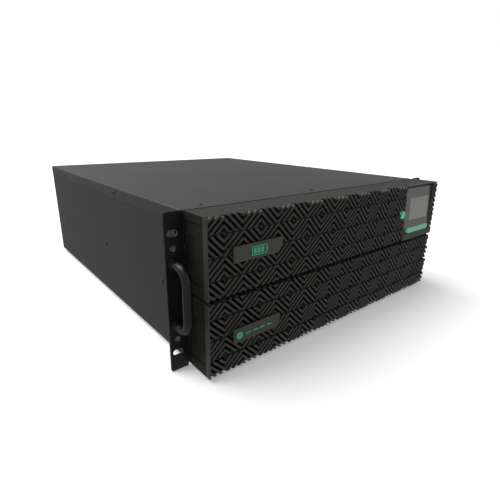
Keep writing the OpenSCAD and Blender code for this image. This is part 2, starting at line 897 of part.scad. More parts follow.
// Cooling fans at the rear
module fan_frames() {
  color("#1c1c1c") for (x = fan_x) translate([x, fan_front, fan_z]) difference() {
    translate([-fan_size / 2, 0, -fan_size / 2]) cube([fan_size, fan_d - fit_gap, fan_size]);
    along_y(fan_bore / 2, -cut, fan_d - spoke_d + cut);
    for (q = [0 : 3]) rotate([0, q * 90, 0]) intersection() {
      along_y(fan_bore / 2, fan_d - spoke_d - cut, spoke_d + 3 * cut);
      box([spoke_w / 2, 0, spoke_w / 2], [fan_size, fan_d + cut, fan_size]);
      difference() {
        along_y(fan_size, 0, fan_d + cut);
        along_y(hub_r, -cut, fan_d + 3 * cut);
      }
    }
  }
}

module fan_rotor(i) {
  color("#2a2a2a") translate([fan_x[i], fan_front, fan_z]) {
    along_y(hub_r, hub_front, fan_d - hub_front - hub_back);
    intersection() {
      difference() {
        along_y(rotor_r, blade_front, fan_d - blade_front - blade_back);
        along_y(hub_r - cut, 0, fan_d);
      }
      for (b = [0 : fan_blades - 1]) rotate([0, b * 360 / fan_blades, 0])
        translate([hub_r - cut, fan_d / 2 - blade_lead, 0]) rotate([blade_angle, 0, 0])
          translate([0, -fan_d, -blade_t / 2]) cube([rotor_r, 2 * fan_d, blade_t]);
    }
  }
}

module fan_rotor_left() { fan_rotor(0); }
module fan_rotor_right() { fan_rotor(1); }

module fan_guards() {
  color("#b9bbbd") for (x = fan_x) translate([x, case_d, fan_z]) {
    for (k = [1 : guard_rings]) rotate([-90, 0, 0])
      rotate_extrude() translate([k * guard_step, 0]) square([guard_wire, guard_out - guard_wire]);
    for (q = [0, 1]) rotate([0, 45 + q * 90, 0])
      box([-guard_strut, guard_out - guard_wire, -guard_wire / 2], [guard_strut, guard_out, guard_wire / 2]);
    for (q = [0 : 3]) rotate([0, 45 + q * 90, 0]) translate([guard_eye_at, 0, 0])
      along_y(guard_eye_r, 0, guard_out);
  }
}

// Rear wall with cut-outs for what sits in it
module rear_panel() {
  color("#444442") difference() {
    box([-case_in_w / 2, rear_in_y, floor_top], [case_in_w / 2, case_d, case_top - sheet_t]);
    for (x = fan_x) translate([x, 0, fan_z]) along_y(fan_bore / 2, rear_in_y - cut, sheet_t + 2 * cut);
    rear_window(outlet_x, term_z, outlet_w - 2 * window_lip, outlet_h - 2 * window_lip);
    rear_window(term_x, term_z, term_w - 2 * term_lip, term_h - 2 * term_lip);
    for (i = [0 : rear_vents - 1], j = [0 : vent_rows - 1])
      translate([port_x + rear_vent_from + i * rear_vent_step, rear_in_y - cut,
                 low_z - rear_vent_down + j * rear_vent_row])
        cube([rear_vent_w, sheet_t + 2 * cut, rear_vent_h]);
    rear_window(port_x, low_z, port_body_w + cut, port_body_h + cut);
    rear_window(net_x, low_z, net_w - 2 * net_window, net_h - 2 * net_window);
    rear_window(comm_x, low_z, comm_window[0], comm_window[1]);
    rear_window(breaker_x, low_z, breaker_w - 2 * breaker_lip + 2 * cut,
                breaker_h - 2 * breaker_lip + 2 * cut);
    translate([stud_x, 0, low_z]) along_y(stud_d / 2 + screw_gap, rear_in_y - cut, sheet_t + 2 * cut);
    for (p = rear_screw_spots) translate([p[0], 0, p[1]])
      along_y(screw_shank_r + screw_gap, rear_in_y - cut, sheet_t + 2 * cut);
  }
}

module rear_window(x, z, w, h) {
  box([x - w / 2, rear_in_y - cut, z - h / 2], [x + w / 2, case_d + cut, z + h / 2]);
}

module rear_screws() {
  color("#2c2c2b") for (p = rear_screw_spots) translate([p[0], case_d, p[1]]) rotate([-90, 0, 0]) screw_down();
}

// A plate on the outside of the rear wall, and a body behind it inside the case
module rear_plate(x, z, w, h, out) {
  box([x - w / 2, case_d, z - h / 2], [x + w / 2, case_d + out, z + h / 2]);
}

module rear_body(x, z, w, h, deep) {
  box([x - w / 2, case_d - deep, z - h / 2], [x + w / 2, case_d, z + h / 2]);
}

module outlet_block() {
  left = outlet_x - outlet_w / 2;
  under = term_z - outlet_h / 2;
  color("#202020") difference() {
    union() {
      rear_plate(outlet_x, term_z, outlet_w, outlet_h, outlet_out);
      rear_body(outlet_x, term_z, outlet_w - 2 * outlet_lip, outlet_h - 2 * outlet_lip, outlet_in);
    }
    for (i = [0 : socket_cols - 1], j = [0 : socket_rows - 1], p = pin_places)
      translate([left + (i + 0.5) * socket_pitch + p[0], case_d, under + (j + 0.5) * socket_pitch + p[1]])
        box([-pin_w / 2, -socket_d, -pin_h / 2], [pin_w / 2, outlet_out + cut, pin_h / 2]);
  }
}

module terminal_block() {
  color("#2b2b2b") difference() {
    box([term_x - term_w / 2 + block_inset, case_d - block_in, term_z - block_up],
        [term_x + term_w / 2 - block_inset, case_d + block_out, term_z + block_up]);
    for (i = [-2 : 2]) translate([term_x + i * contact_step, 0, term_z])
      along_y(contact_r, case_d + block_out - contact_d, contact_d + cut);
  }
}

// Four walls round the terminals
module terminal_skirt() {
  color("#3a3a38") difference() {
    rear_plate(term_x, term_z, term_w, term_h, term_out - term_wall);
    box([term_x - term_w / 2 + term_wall, case_d - cut, term_z - term_h / 2 + term_wall],
        [term_x + term_w / 2 - term_wall, case_d + term_out, term_z + term_h / 2 - term_wall]);
  }
}

// Gland plate that closes the skirt
module terminal_cover() {
  color("#3a3a38") translate([0, term_out - term_wall, 0]) difference() {
    rear_plate(term_x, term_z, term_w, term_h, term_wall);
    for (s = [-1, 1]) translate([term_x + s * gland_span / 2, 0, term_z])
      along_y(gland_r, case_d - cut, term_wall + 2 * cut);
  }
}

module battery_port() {
  color("#26262a") {
    rear_plate(port_x, low_z, port_w, port_h, port_out);
    rear_body(port_x, low_z, port_body_w, port_body_h, port_in);
    for (s = [-1, 1]) translate([port_x + s * port_screw_at, 0, low_z])
      along_y(port_screw_r, case_d + port_out, port_screw_out);
  }
}

module network_cover() {
  color("#9a9a96") {
    rear_plate(net_x, low_z, net_w, net_h, net_t);
    for (s = [-1, 1]) translate([net_x + s * (net_w / 2 - thumb_inset), 0, low_z])
      along_y(thumb_r, case_d + net_t, thumb_out);
  }
}

module port_panel() {
  color("#9a9a96") {
    rear_plate(comm_x, low_z, comm_w, comm_h, comm_t);
    rear_body(comm_x, low_z, comm_body[0], comm_body[1], comm_in);
    translate([comm_x - serial_size[0] / 2, case_d + comm_t, low_z + serial_up - serial_size[2] / 2])
      cube(serial_size);
    translate([comm_x + lan_side - lan_size[0] / 2, case_d + comm_t, low_z + lan_up - lan_size[2] / 2])
      cube(lan_size);
  }
}

module breaker_body() {
  pocket_w = lever_w + 2 * fit_gap;
  throat = lever_r + lever_room;
  color("#2d2d2d") difference() {
    union() {
      rear_plate(breaker_x, low_z, breaker_w, breaker_h, breaker_out);
      rear_body(breaker_x, low_z, breaker_w - 2 * breaker_lip, breaker_h - 2 * breaker_lip, breaker_in);
    }
    translate([0, case_d + breaker_out - lever_r, low_z])
      along_x(lever_r + fit_gap, breaker_x - pocket_w / 2, pocket_w);
    box([breaker_x - pocket_w / 2, case_d + breaker_out - lever_r, low_z - throat],
        [breaker_x + pocket_w / 2, case_d + breaker_out + cut, low_z + throat]);
  }
}

module breaker_lever() {
  color("#d8d8d4") translate([breaker_x, case_d + breaker_out - lever_r, low_z]) {
    along_x(lever_r, -lever_w / 2, lever_w);
    rotate([lever_tilt, 0, 0])
      box([-lever_w / 2 + lever_step, 0, -lever_t / 2], [lever_w / 2 - lever_step, lever_len, lever_t / 2]);
  }
}

module ground_stud() {
  color("#c9b070") translate([stud_x, 0, low_z]) {
    along_y(stud_d / 2, rear_in_y - stud_in, stud_in + sheet_t + stud_nut_t + stud_len);
    along_y(stud_d, case_d, stud_nut_t);
  }
}

case_tub();
deck();
top_cover();
case_screws();
front_panel();
rear_panel();
rear_screws();
ear_left();
ear_right();
ear_screws();
handle_left();
handle_right();
handle_screws();
bay_divider();
power_board();
heatsinks();
capacitors();
chokes();
fan_frames();
fan_guards();
fan_rotor_left();
fan_rotor_right();
outlet_block();
terminal_block();
terminal_skirt();
terminal_cover();
battery_port();
network_cover();
port_panel();
breaker_body();
breaker_lever();
ground_stud();
upper_bezel();
upper_grille();
upper_filter();
upper_latch_left();
upper_latch_right();
upper_plate();
upper_plate_mark();
display_housing();
display_panel();
display_lens();
status_bar();
drop_button();
lower_bezel();
lower_grille();
lower_filter();
lower_latch_left();
lower_latch_right();
lower_plate();
lower_plate_mark();
battery_tray_left();
battery_tray_right();
battery_cells_left();
battery_cells_right();
battery_plug_left();
battery_plug_right();
battery_pull_left();
battery_pull_right();
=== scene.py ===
"""Looks for a 4-unit rack battery backup unit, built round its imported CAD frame."""

import math

import bmesh
import bpy
from bpy.props import FloatProperty, FloatVectorProperty, PointerProperty
from mathutils import Matrix, Vector


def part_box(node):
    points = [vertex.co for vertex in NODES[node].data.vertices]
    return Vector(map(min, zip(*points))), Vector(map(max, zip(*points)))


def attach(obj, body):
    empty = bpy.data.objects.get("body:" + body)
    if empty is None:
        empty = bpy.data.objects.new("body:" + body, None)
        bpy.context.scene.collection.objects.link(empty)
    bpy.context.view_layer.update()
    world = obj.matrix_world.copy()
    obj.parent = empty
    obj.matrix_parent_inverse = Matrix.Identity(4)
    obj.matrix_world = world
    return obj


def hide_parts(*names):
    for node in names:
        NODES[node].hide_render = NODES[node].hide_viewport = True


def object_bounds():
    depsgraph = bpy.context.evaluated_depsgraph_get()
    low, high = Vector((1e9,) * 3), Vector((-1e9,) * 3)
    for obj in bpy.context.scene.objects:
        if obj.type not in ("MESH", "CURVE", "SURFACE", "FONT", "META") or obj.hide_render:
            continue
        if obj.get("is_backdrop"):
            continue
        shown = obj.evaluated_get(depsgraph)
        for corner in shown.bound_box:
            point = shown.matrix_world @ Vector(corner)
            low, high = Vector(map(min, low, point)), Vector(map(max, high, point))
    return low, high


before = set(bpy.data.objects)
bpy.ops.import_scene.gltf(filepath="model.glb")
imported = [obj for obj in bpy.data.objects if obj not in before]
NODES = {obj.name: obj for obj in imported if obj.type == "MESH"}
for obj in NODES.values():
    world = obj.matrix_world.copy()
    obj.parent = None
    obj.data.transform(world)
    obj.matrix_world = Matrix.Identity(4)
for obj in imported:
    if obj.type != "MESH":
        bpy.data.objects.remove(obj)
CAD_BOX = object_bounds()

bl_info = {
    "name": "Rack battery backup unit",
    "version": (1, 0, 0),
    "blender": (4, 5, 0),
    "location": "View3D > Sidebar > Rack unit",
    "description": "Builds the finishes and fine parts of a rack battery backup unit",
    "category": "Object",
}

SHEET = 0.0015
BEND = 0.0025
WELD = 1e-5
WHITE = (1.0, 1.0, 1.0)
BLACK = (0.0, 0.0, 0.0)


# ---------------------------------------------------------------- settings

class RACKUNIT_PG_grille(bpy.types.PropertyGroup):
    """Sizes of the ribbed diamond pattern."""

    pitch: FloatProperty(
        name="Diamond pitch", description="Distance between neighbouring diamonds",
        default=0.0468, unit="LENGTH")
    first_column: FloatProperty(
        name="First column", description="From the left edge to the first diamond's middle",
        default=0.0205, unit="LENGTH")
    first_row: FloatProperty(
        name="First row", description="From the top edge to the first diamond's middle",
        default=0.0182, unit="LENGTH")
    rib_width: FloatProperty(
        name="Rib width", description="Width of one rib", default=0.0028, unit="LENGTH")
    rib_depth: FloatProperty(
        name="Rib depth", description="Depth of the ribs", default=0.005, unit="LENGTH")
    edge: FloatProperty(
        name="Rib edge", description="Width of the worn-off edge of a rib",
        default=0.00055, unit="LENGTH")
    lean: FloatProperty(
        name="Row lean", description="How far the foot of each half row sits behind its head",
        default=0.0021, unit="LENGTH")
    seam: FloatProperty(
        name="Seam", description="Width of the upright seam where ribs meet",
        default=0.0004, unit="LENGTH")


class RACKUNIT_PG_display(bpy.types.PropertyGroup):
    """Sizes of the leaning display window."""

    thickness: FloatProperty(
        name="Window thickness", description="Thickness of the smoked surround",
        default=0.0025, unit="LENGTH")
    band_low: FloatProperty(
        name="Lower band", description="Surround below the film", default=0.0100, unit="LENGTH")
    band_high: FloatProperty(
        name="Upper band", description="Surround above the film", default=0.0150, unit="LENGTH")
    stile: FloatProperty(
        name="Stile", description="Surround beside the film", default=0.0024, unit="LENGTH")
    reach: FloatProperty(
        name="Surround reach", description="How far the surround runs past the recess's left",
        default=0.0095, unit="LENGTH")
    sunk: FloatProperty(
        name="Film depth", description="How far the film lies behind the surround",
        default=0.0003, unit="LENGTH")


class RACKUNIT_PG_finish(bpy.types.PropertyGroup):
    """Colours and grain of the finishes."""

    sheet: FloatVectorProperty(
        name="Case paint", description="Powder coat of the case", subtype="COLOR",
        default=(0.0265, 0.0265, 0.0258))
    ear: FloatVectorProperty(
        name="Ear coat", description="Satin coat of the rack ears", subtype="COLOR",
        default=(0.0085, 0.0085, 0.0102))
    bezel: FloatVectorProperty(
        name="Bezel plastic", description="Moulded plastic of the bezel frames",
        subtype="COLOR", default=(0.031, 0.031, 0.0282))
    rib: FloatVectorProperty(
        name="Rib plastic", description="Moulded plastic of the ribs", subtype="COLOR",
        default=(0.041, 0.041, 0.038))
    plate: FloatVectorProperty(
        name="Name plate", description="Coat of the name plates", subtype="COLOR",
        default=(0.045, 0.044, 0.038))
    mark: FloatVectorProperty(
        name="Mark", description="Print on the name plates", subtype="COLOR",
        default=(0.06, 0.42, 0.20))
    lamp: FloatVectorProperty(
        name="Lamp", description="Green light guides", subtype="COLOR",
        default=(0.09, 0.42, 0.23))
    grain: FloatProperty(
        name="Coat grain", description="Size of one grain of the powder coat",
        default=0.0011, unit="LENGTH")


class RACKUNIT_PG_stage(bpy.types.PropertyGroup):
    """Camera and light."""

    camera_place: FloatVectorProperty(
        name="Camera place", description="Where the camera stands", subtype="TRANSLATION",
        unit="LENGTH", default=(-0.39798, -0.32468, 0.16565))
    heading: FloatProperty(
        name="Heading", description="Turn of the camera to the right", subtype="ANGLE",
        default=math.radians(39.31))
    pitch_down: FloatProperty(
        name="Pitch", description="How far the camera looks down", subtype="ANGLE",
        default=math.radians(17.97))
    roll: FloatProperty(
        name="Roll", description="Roll of the camera", subtype="ANGLE",
        default=math.radians(0.766))
    lens: FloatProperty(
        name="Lens", description="Focal length in millimetres", default=27.1)
    key: FloatProperty(
        name="Key light", description="Strength of the soft light from above and behind",
        default=2.55)
    key_from: FloatVectorProperty(
        name="Key direction", description="Where the key light comes from",
        subtype="DIRECTION", default=(-0.33, 0.5, 0.9))
    key_spread: FloatProperty(
        name="Key spread", description="How wide the key light looks", subtype="ANGLE",
        default=math.radians(55.0))
    fill: FloatProperty(
        name="Fill light", description="Strength of the soft light from the right front",
        default=0.3)
    fill_from: FloatVectorProperty(
        name="Fill direction", description="Where the fill light comes from",
        subtype="DIRECTION", default=(0.6, -0.75, 0.25))
    ambient: FloatProperty(
        name="Ambient light", description="Strength of the light from all round", default=0.4)


# ---------------------------------------------------------------- materials

class Value:
    """A socket of a node tree. Arithmetic on it adds Math nodes."""

    def __init__(self, tree, socket):
        self.tree = tree
        self.socket = socket

    def _math(self, operation, a, b=0.0):
        node = self.tree.nodes.new("ShaderNodeMath")
        node.operation = operation
        for slot, part in zip(node.inputs, (a, b)):
            if isinstance(part, Value):
                self.tree.links.new(part.socket, slot)
            else:
                slot.default_value = part
        return Value(self.tree, node.outputs[0])

    def __add__(self, other):
        return self._math("ADD", self, other)

    def __radd__(self, other):
        return self._math("ADD", other, self)

    def __sub__(self, other):
        return self._math("SUBTRACT", self, other)

    def __rsub__(self, other):
        return self._math("SUBTRACT", other, self)

    def __mul__(self, other):
        return self._math("MULTIPLY", self, other)

    def above(self, limit):
        """1 where the value is more than the limit."""
        return self._math("GREATER_THAN", self, limit)


class Finish:
    """A node material that is being made."""

    def __init__(self, name, **constants):
        self.material = bpy.data.materials.new(name)
        self.material.use_nodes = True
        self.tree = self.material.node_tree
        self.shader = self.tree.nodes["Principled BSDF"]
        for label, value in constants.items():
            self.shader.inputs[label.replace("_", " ")].default_value = value
        self.place = self.node("ShaderNodeTexCoord", output="Object")

    def node(self, kind, settings=None, inputs=None, output=0):
        """Adds a node: its settings first, then the values or links of its sockets."""
        node = self.tree.nodes.new(kind)
        for key, value in (settings or {}).items():
            if key == "stops":
                ramp = node.color_ramp.elements
                while len(ramp) < len(value):
                    ramp.new(1.0)
                for element, (position, colour) in zip(ramp, value):
                    element.position = position
                    element.color = (*colour, 1.0)
            else:
                setattr(node, key, value)
        for key, value in (inputs or {}).items():
            self.feed(node.inputs[key], value)
        return Value(self.tree, node.outputs[output])

    def feed(self, socket, value):
        """Links a value to a socket, or sets the socket's own number or colour."""
        if isinstance(value, Value):
            self.tree.links.new(value.socket, socket)
        elif socket.type == "RGBA":
            socket.default_value = (*value, 1.0)
        else:
            socket.default_value = value

    def noise(self, size, detail=2.0, stretch=WHITE, offset=BLACK):
        """Soft noise whose grains are size metres across."""
        where = self.node(
            "ShaderNodeMapping", None,
            {"Vector": self.place, "Scale": tuple(s / size for s in stretch), "Location": offset})
        return self.node("ShaderNodeTexNoise", None,
                         {"Vector": where, "Scale": 1.0, "Detail": detail}, "Fac")

    def cells(self, size, feature="F1", output="Distance", stretch=WHITE):
        """Cells of size metres."""
        where = self.node("ShaderNodeMapping", None,
                          {"Vector": self.place, "Scale": tuple(s / size for s in stretch)})
        return self.node("ShaderNodeTexVoronoi", {"feature": feature},
                         {"Vector": where, "Scale": 1.0}, output)

    def ramp(self, value, *stops):
        """A grey ramp: pairs of position and level."""
        return self.node("ShaderNodeValToRGB",
                         {"stops": [(p, (level,) * 3) for p, level in stops]}, {"Fac": value})

    def mix(self, factor, a, b, blend="MIX"):
        """Two colours mixed by a factor."""
        return self.node("ShaderNodeMix", {"data_type": "RGBA", "blend_type": blend},
                         {0: factor, 6: a, 7: b}, 2)

    def edge_wear(self, width):
        """1 on sharp edges, 0 on flats."""
        rounded = self.node("ShaderNodeBevel", {"samples": 4}, {"Radius": width})
        flat = self.node("ShaderNodeNewGeometry", output="Normal")
        alike = self.node("ShaderNodeVectorMath", {"operation": "DOT_PRODUCT"},
                          {0: rounded, 1: flat}, "Value")
        return self.ramp(1.0 - alike, (0.01, 0.0), (0.12, 1.0))

    def done(self, colour, roughness, height=None, strength=0.2, distance=0.0002, **others):
        """Feeds the shader and gives back the material."""
        self.feed(self.shader.inputs["Base Color"], colour)
        self.feed(self.shader.inputs["Roughness"], roughness)
        for label, value in others.items():
            self.feed(self.shader.inputs[label.replace("_", " ")], value)
        if height is not None:
            bump = self.node("ShaderNodeBump", None,
                             {"Strength": strength, "Distance": distance, "Height": height})
            self.feed(self.shader.inputs["Normal"], bump)
        return self.material


def shade(colour, factor):
    """A colour made lighter or darker."""
    return tuple(c * factor for c in colour)


def blend_colours(a, b, factor):
    """A colour between two others."""
    return tuple(x + (y - x) * factor for x, y in zip(a, b))


def powder_coat(name, colour, rough=0.5, grain=0.0011, specular=0.5, dust=0.12, relief=0.25):
    """Powder coat: fine leathery grain, faint cloudiness, rubbed edges and a little dust."""
    f = Finish(name, Specular_IOR_Level=specular)
    peel = f.cells(grain, "SMOOTH_F1")
    speck = f.noise(grain * 0.45, 3.0)
    cloud = f.noise(0.11, 3.0)
    smear = f.noise(0.05, 4.0, (1.0, 0.25, 1.0), (3.0, 1.0, 2.0))
    worn = f.edge_wear(0.0007) * f.ramp(f.noise(0.012, 3.0), (0.42, 0.0), (0.6, 1.0))
    base = f.mix(cloud, shade(colour, 0.9), shade(colour, 1.1))
    base = f.mix(f.ramp(speck, (0.35, 0.0), (0.7, 1.0)), base, shade(colour, 1.22))
    dusty = f.ramp(smear, (0.5, 0.0), (0.8, 1.0)) * dust
    base = f.mix(dusty, base, blend_colours(colour, (0.3, 0.3, 0.28), 0.35))
    base = f.mix(worn * 0.5, base, shade(blend_colours(colour, (0.2, 0.2, 0.2), 0.3), 1.3))
    gloss = rough + (cloud - 0.5) * 0.10 + (speck - 0.5) * 0.08 + dusty * 0.5
    return f.done(base, gloss, peel * 0.7 + speck * 0.5, relief, 0.0001)


def moulded(name, colour, rough=0.55, grain=0.0006, specular=0.35, relief=0.3, painted_top_shading=1.0):
    """Moulded plastic with a spark-eroded texture and handled, shinier edges. Faces that point up
    are scaled by painted_top_shading: painted light above 1, painted shade below 1.
    """
    f = Finish(name, Specular_IOR_Level=specular)
    spark = f.noise(grain, 4.0)
    cloud = f.noise(0.06, 2.0)
    flow = f.noise(0.018, 3.0, (0.3, 1.0, 1.0), (5.0, 2.0, 1.0))
    worn = f.edge_wear(0.0005) * f.ramp(f.noise(0.009, 2.0), (0.35, 0.0), (0.65, 1.0))
    base = f.mix(cloud, shade(colour, 0.88), shade(colour, 1.12))
    base = f.mix(f.ramp(spark, (0.4, 0.0), (0.75, 1.0)), base, shade(colour, 1.25))
    base = f.mix(f.ramp(flow, (0.62, 0.0), (0.85, 0.35)), base, shade(colour, 0.75))
    base = f.mix(worn * 0.3, base, shade(blend_colours(colour, (0.2, 0.2, 0.19), 0.2), 1.3))
    # Painted light and shade: faces that point up get their colour scaled by painted_top_shading,
    # standing in for the light that falls on tops.
    painted_top_mask = f.node("ShaderNodeSeparateXYZ", None,
                    {0: f.node("ShaderNodeNewGeometry", output="Normal")}, "Z")
    base = f.mix(painted_top_mask.above(0.8), base, shade(colour, painted_top_shading))
    gloss = rough + (spark - 0.5) * 0.16 + (flow - 0.5) * 0.08 - worn * 0.12
    return f.done(base, gloss, spark, relief, 0.0001)


def metal(name, colour, rough=0.35, along=(0.04, 1.0, 1.0), line=0.0004, relief=0.12, tarnish=0.3):
    """Bare or plated metal with rolling lines along one way and cloudy tarnish."""
    f = Finish(name, Metallic=1.0)
    lines = f.noise(line, 3.0, along)
    cloud = f.noise(0.02, 3.0)
    spots = f.cells(0.006)
    base = f.mix(cloud, shade(colour, 0.85), shade(colour, 1.08))
    base = f.mix(f.ramp(lines, (0.35, 0.0), (0.75, 0.4)), base, shade(colour, 0.7))
    base = f.mix(f.ramp(cloud, (0.5, 0.0), (0.75, tarnish)), base, shade(colour, 0.45))
    gloss = rough + (lines - 0.5) * 0.2 + (cloud - 0.5) * 0.15
    return f.done(base, gloss, lines + spots * 0.1, relief, 0.0001)


def galvanised(name, colour):
    """Zinc-coated sheet: flat spangles that differ in tone and shine."""
    f = Finish(name, Metallic=1.0)
    tone = f.node("ShaderNodeSeparateColor", None,
                  {"Color": f.cells(0.009, "F1", "Color")}, 0)
    scratch = f.noise(0.0009, 3.0, (1.0, 0.05, 1.0))
    cloud = f.noise(0.05, 3.0)
    base = f.mix(tone, shade(colour, 0.75), shade(colour, 1.1))
    base = f.mix(f.ramp(cloud, (0.5, 0.0), (0.8, 0.5)), base, shade(colour, 0.6))
    gloss = 0.38 + tone * 0.16 + (scratch - 0.5) * 0.12
    return f.done(base, gloss, scratch + tone * 0.3, 0.08, 0.0001)


def foam(name, colour):
    """Open-cell filter foam, with painted shade in its pores."""
    f = Finish(name, Specular_IOR_Level=0.1)
    pores = f.cells(0.0017, "F1")
    fine = f.noise(0.0008, 3.0)
    pore_shade_and_depth = f.ramp(pores, (0.1, 0.0), (0.55, 1.0))
    # Painted shade: the pores are darkened and the struts between them lightened; the same mask
    # also gives the pores their bump depth.
    base = f.mix(pore_shade_and_depth * 0.7 + fine * 0.3, shade(colour, 0.25), shade(colour, 1.8))
    return f.done(base, 0.95 - fine * 0.1, pore_shade_and_depth + fine * 0.4, 0.9, 0.0008)


def light_guide(name, colour, glow=0.25):
    """Milky green light guide with a faint glow of its own."""
    f = Finish(name, Emission_Strength=glow, Coat_Roughness=0.12)
    depth = f.noise(0.008, 2.0)
    fine = f.noise(0.0007, 3.0)
    cells = f.cells(0.0045, "SMOOTH_F1")
    base = f.mix(depth, shade(colour, 0.8), shade(colour, 1.25))
    base = f.mix(f.ramp(cells, (0.2, 0.25), (0.6, 0.0)), base, blend_colours(colour, WHITE, 0.4))
    return f.done(base, 0.32 + (fine - 0.5) * 0.2, fine + cells * 0.4, 0.1, 0.0002,
                  Emission_Color=base, Coat_Weight=0.25 + fine * 0.2)


def glazing(name, colour, rough=0.18):
    """Smoked, hard-coated window with rubbed haze and fine scratches."""
    f = Finish(name, Coat_Roughness=0.08)
    haze = f.noise(0.03, 3.0)
    scratch = f.noise(0.0005, 2.0, (1.0, 1.0, 0.03))
    base = f.mix(haze, shade(colour, 0.92), shade(colour, 1.1))
    base = f.mix(f.ramp(scratch, (0.7, 0.0), (0.85, 0.4)), base, shade(colour, 1.3))
    gloss = rough + (haze - 0.5) * 0.1 + f.ramp(scratch, (0.6, 0.0), (0.8, 0.2))
    return f.done(base, gloss, scratch, 0.03, 0.0001, Coat_Weight=0.3 + haze * 0.2)


def display_film(name, colour):
    """Reflective liquid crystal film: fine dot rows and a soft sheen."""
    f = Finish(name, Specular_IOR_Level=0.4)
    dots = f.node("ShaderNodeTexBrick", {"offset": 0.0},
                  {"Vector": f.node("ShaderNodeMapping", None,
                                    {"Vector": f.place, "Rotation": (math.pi / 2, 0.0, 0.0)}),
                   "Scale": 1.0, "Brick Width": 0.0011, "Row Height": 0.0011,
                   "Mortar Size": 0.00016, "Color1": WHITE, "Color2": WHITE, "Mortar": BLACK},
                  "Fac")
    cloud = f.noise(0.03, 2.0)
    base = f.mix(cloud, shade(colour, 0.94), shade(colour, 1.06))
    base = f.mix(dots * 0.35, base, shade(colour, 0.8))
    return f.done(base, 0.34 + (cloud - 0.5) * 0.1, dots, 0.04, 0.00005)


def circuit_board(name, colour):
    """Solder mask with raised copper tracks and tinned pads."""
    f = Finish(name, Specular_IOR_Level=0.5)
    tracks = f.node("ShaderNodeTexBrick", {"offset": 0.5, "squash": 0.6, "squash_frequency": 3},
                    {"Vector": f.place, "Scale": 1.0, "Brick Width": 0.019, "Row Height": 0.0046,
                     "Mortar Size": 0.0007, "Color1": BLACK, "Color2": BLACK, "Mortar": WHITE},
                    "Fac")
    pads = 1.0 - f.cells(0.0105).above(0.17)
    cloud = f.noise(0.04, 2.0)
    base = f.mix(cloud, shade(colour, 0.8), shade(colour, 1.2))
    base = f.mix(tracks * 0.8, base, blend_colours(colour, (0.15, 0.4, 0.12), 0.5))
    base = f.mix(pads, base, (0.55, 0.55, 0.52))
    return f.done(base, 0.4 - pads * 0.15 + cloud * 0.1, tracks + pads, 0.3, 0.0002,
                  Metallic=pads * 0.9)


def shrink_sleeve(name, colour, stripe):
    """Printed shrink sleeve of a capacitor: a pale stripe up one side."""
    f = Finish(name, Specular_IOR_Level=0.5, Coat_Roughness=0.2)
    band = f.cells(0.036, "F1", "Distance", (1.0, 1.0, 0.0)).above(0.62)
    wrinkle = f.noise(0.004, 3.0, (1.0, 1.0, 0.2))
    base = f.mix(band, colour, stripe)
    base = f.mix(f.ramp(wrinkle, (0.45, 0.0), (0.8, 0.5)), base, shade(colour, 1.4))
    return f.done(base, 0.28 + wrinkle * 0.15, wrinkle, 0.15, 0.0003, Coat_Weight=wrinkle * 0.4)


def floor_finish(name, colour):
    """Matt studio floor with the faintest mottling, lit through a little from below."""
    f = Finish(name, Specular_IOR_Level=0.0, Emission_Strength=0.22)
    cloud = f.noise(0.4, 2.0)
    base = f.mix(cloud, shade(colour, 0.99), colour)
    return f.done(base, 0.95 - cloud * 0.05, Emission_Color=base)


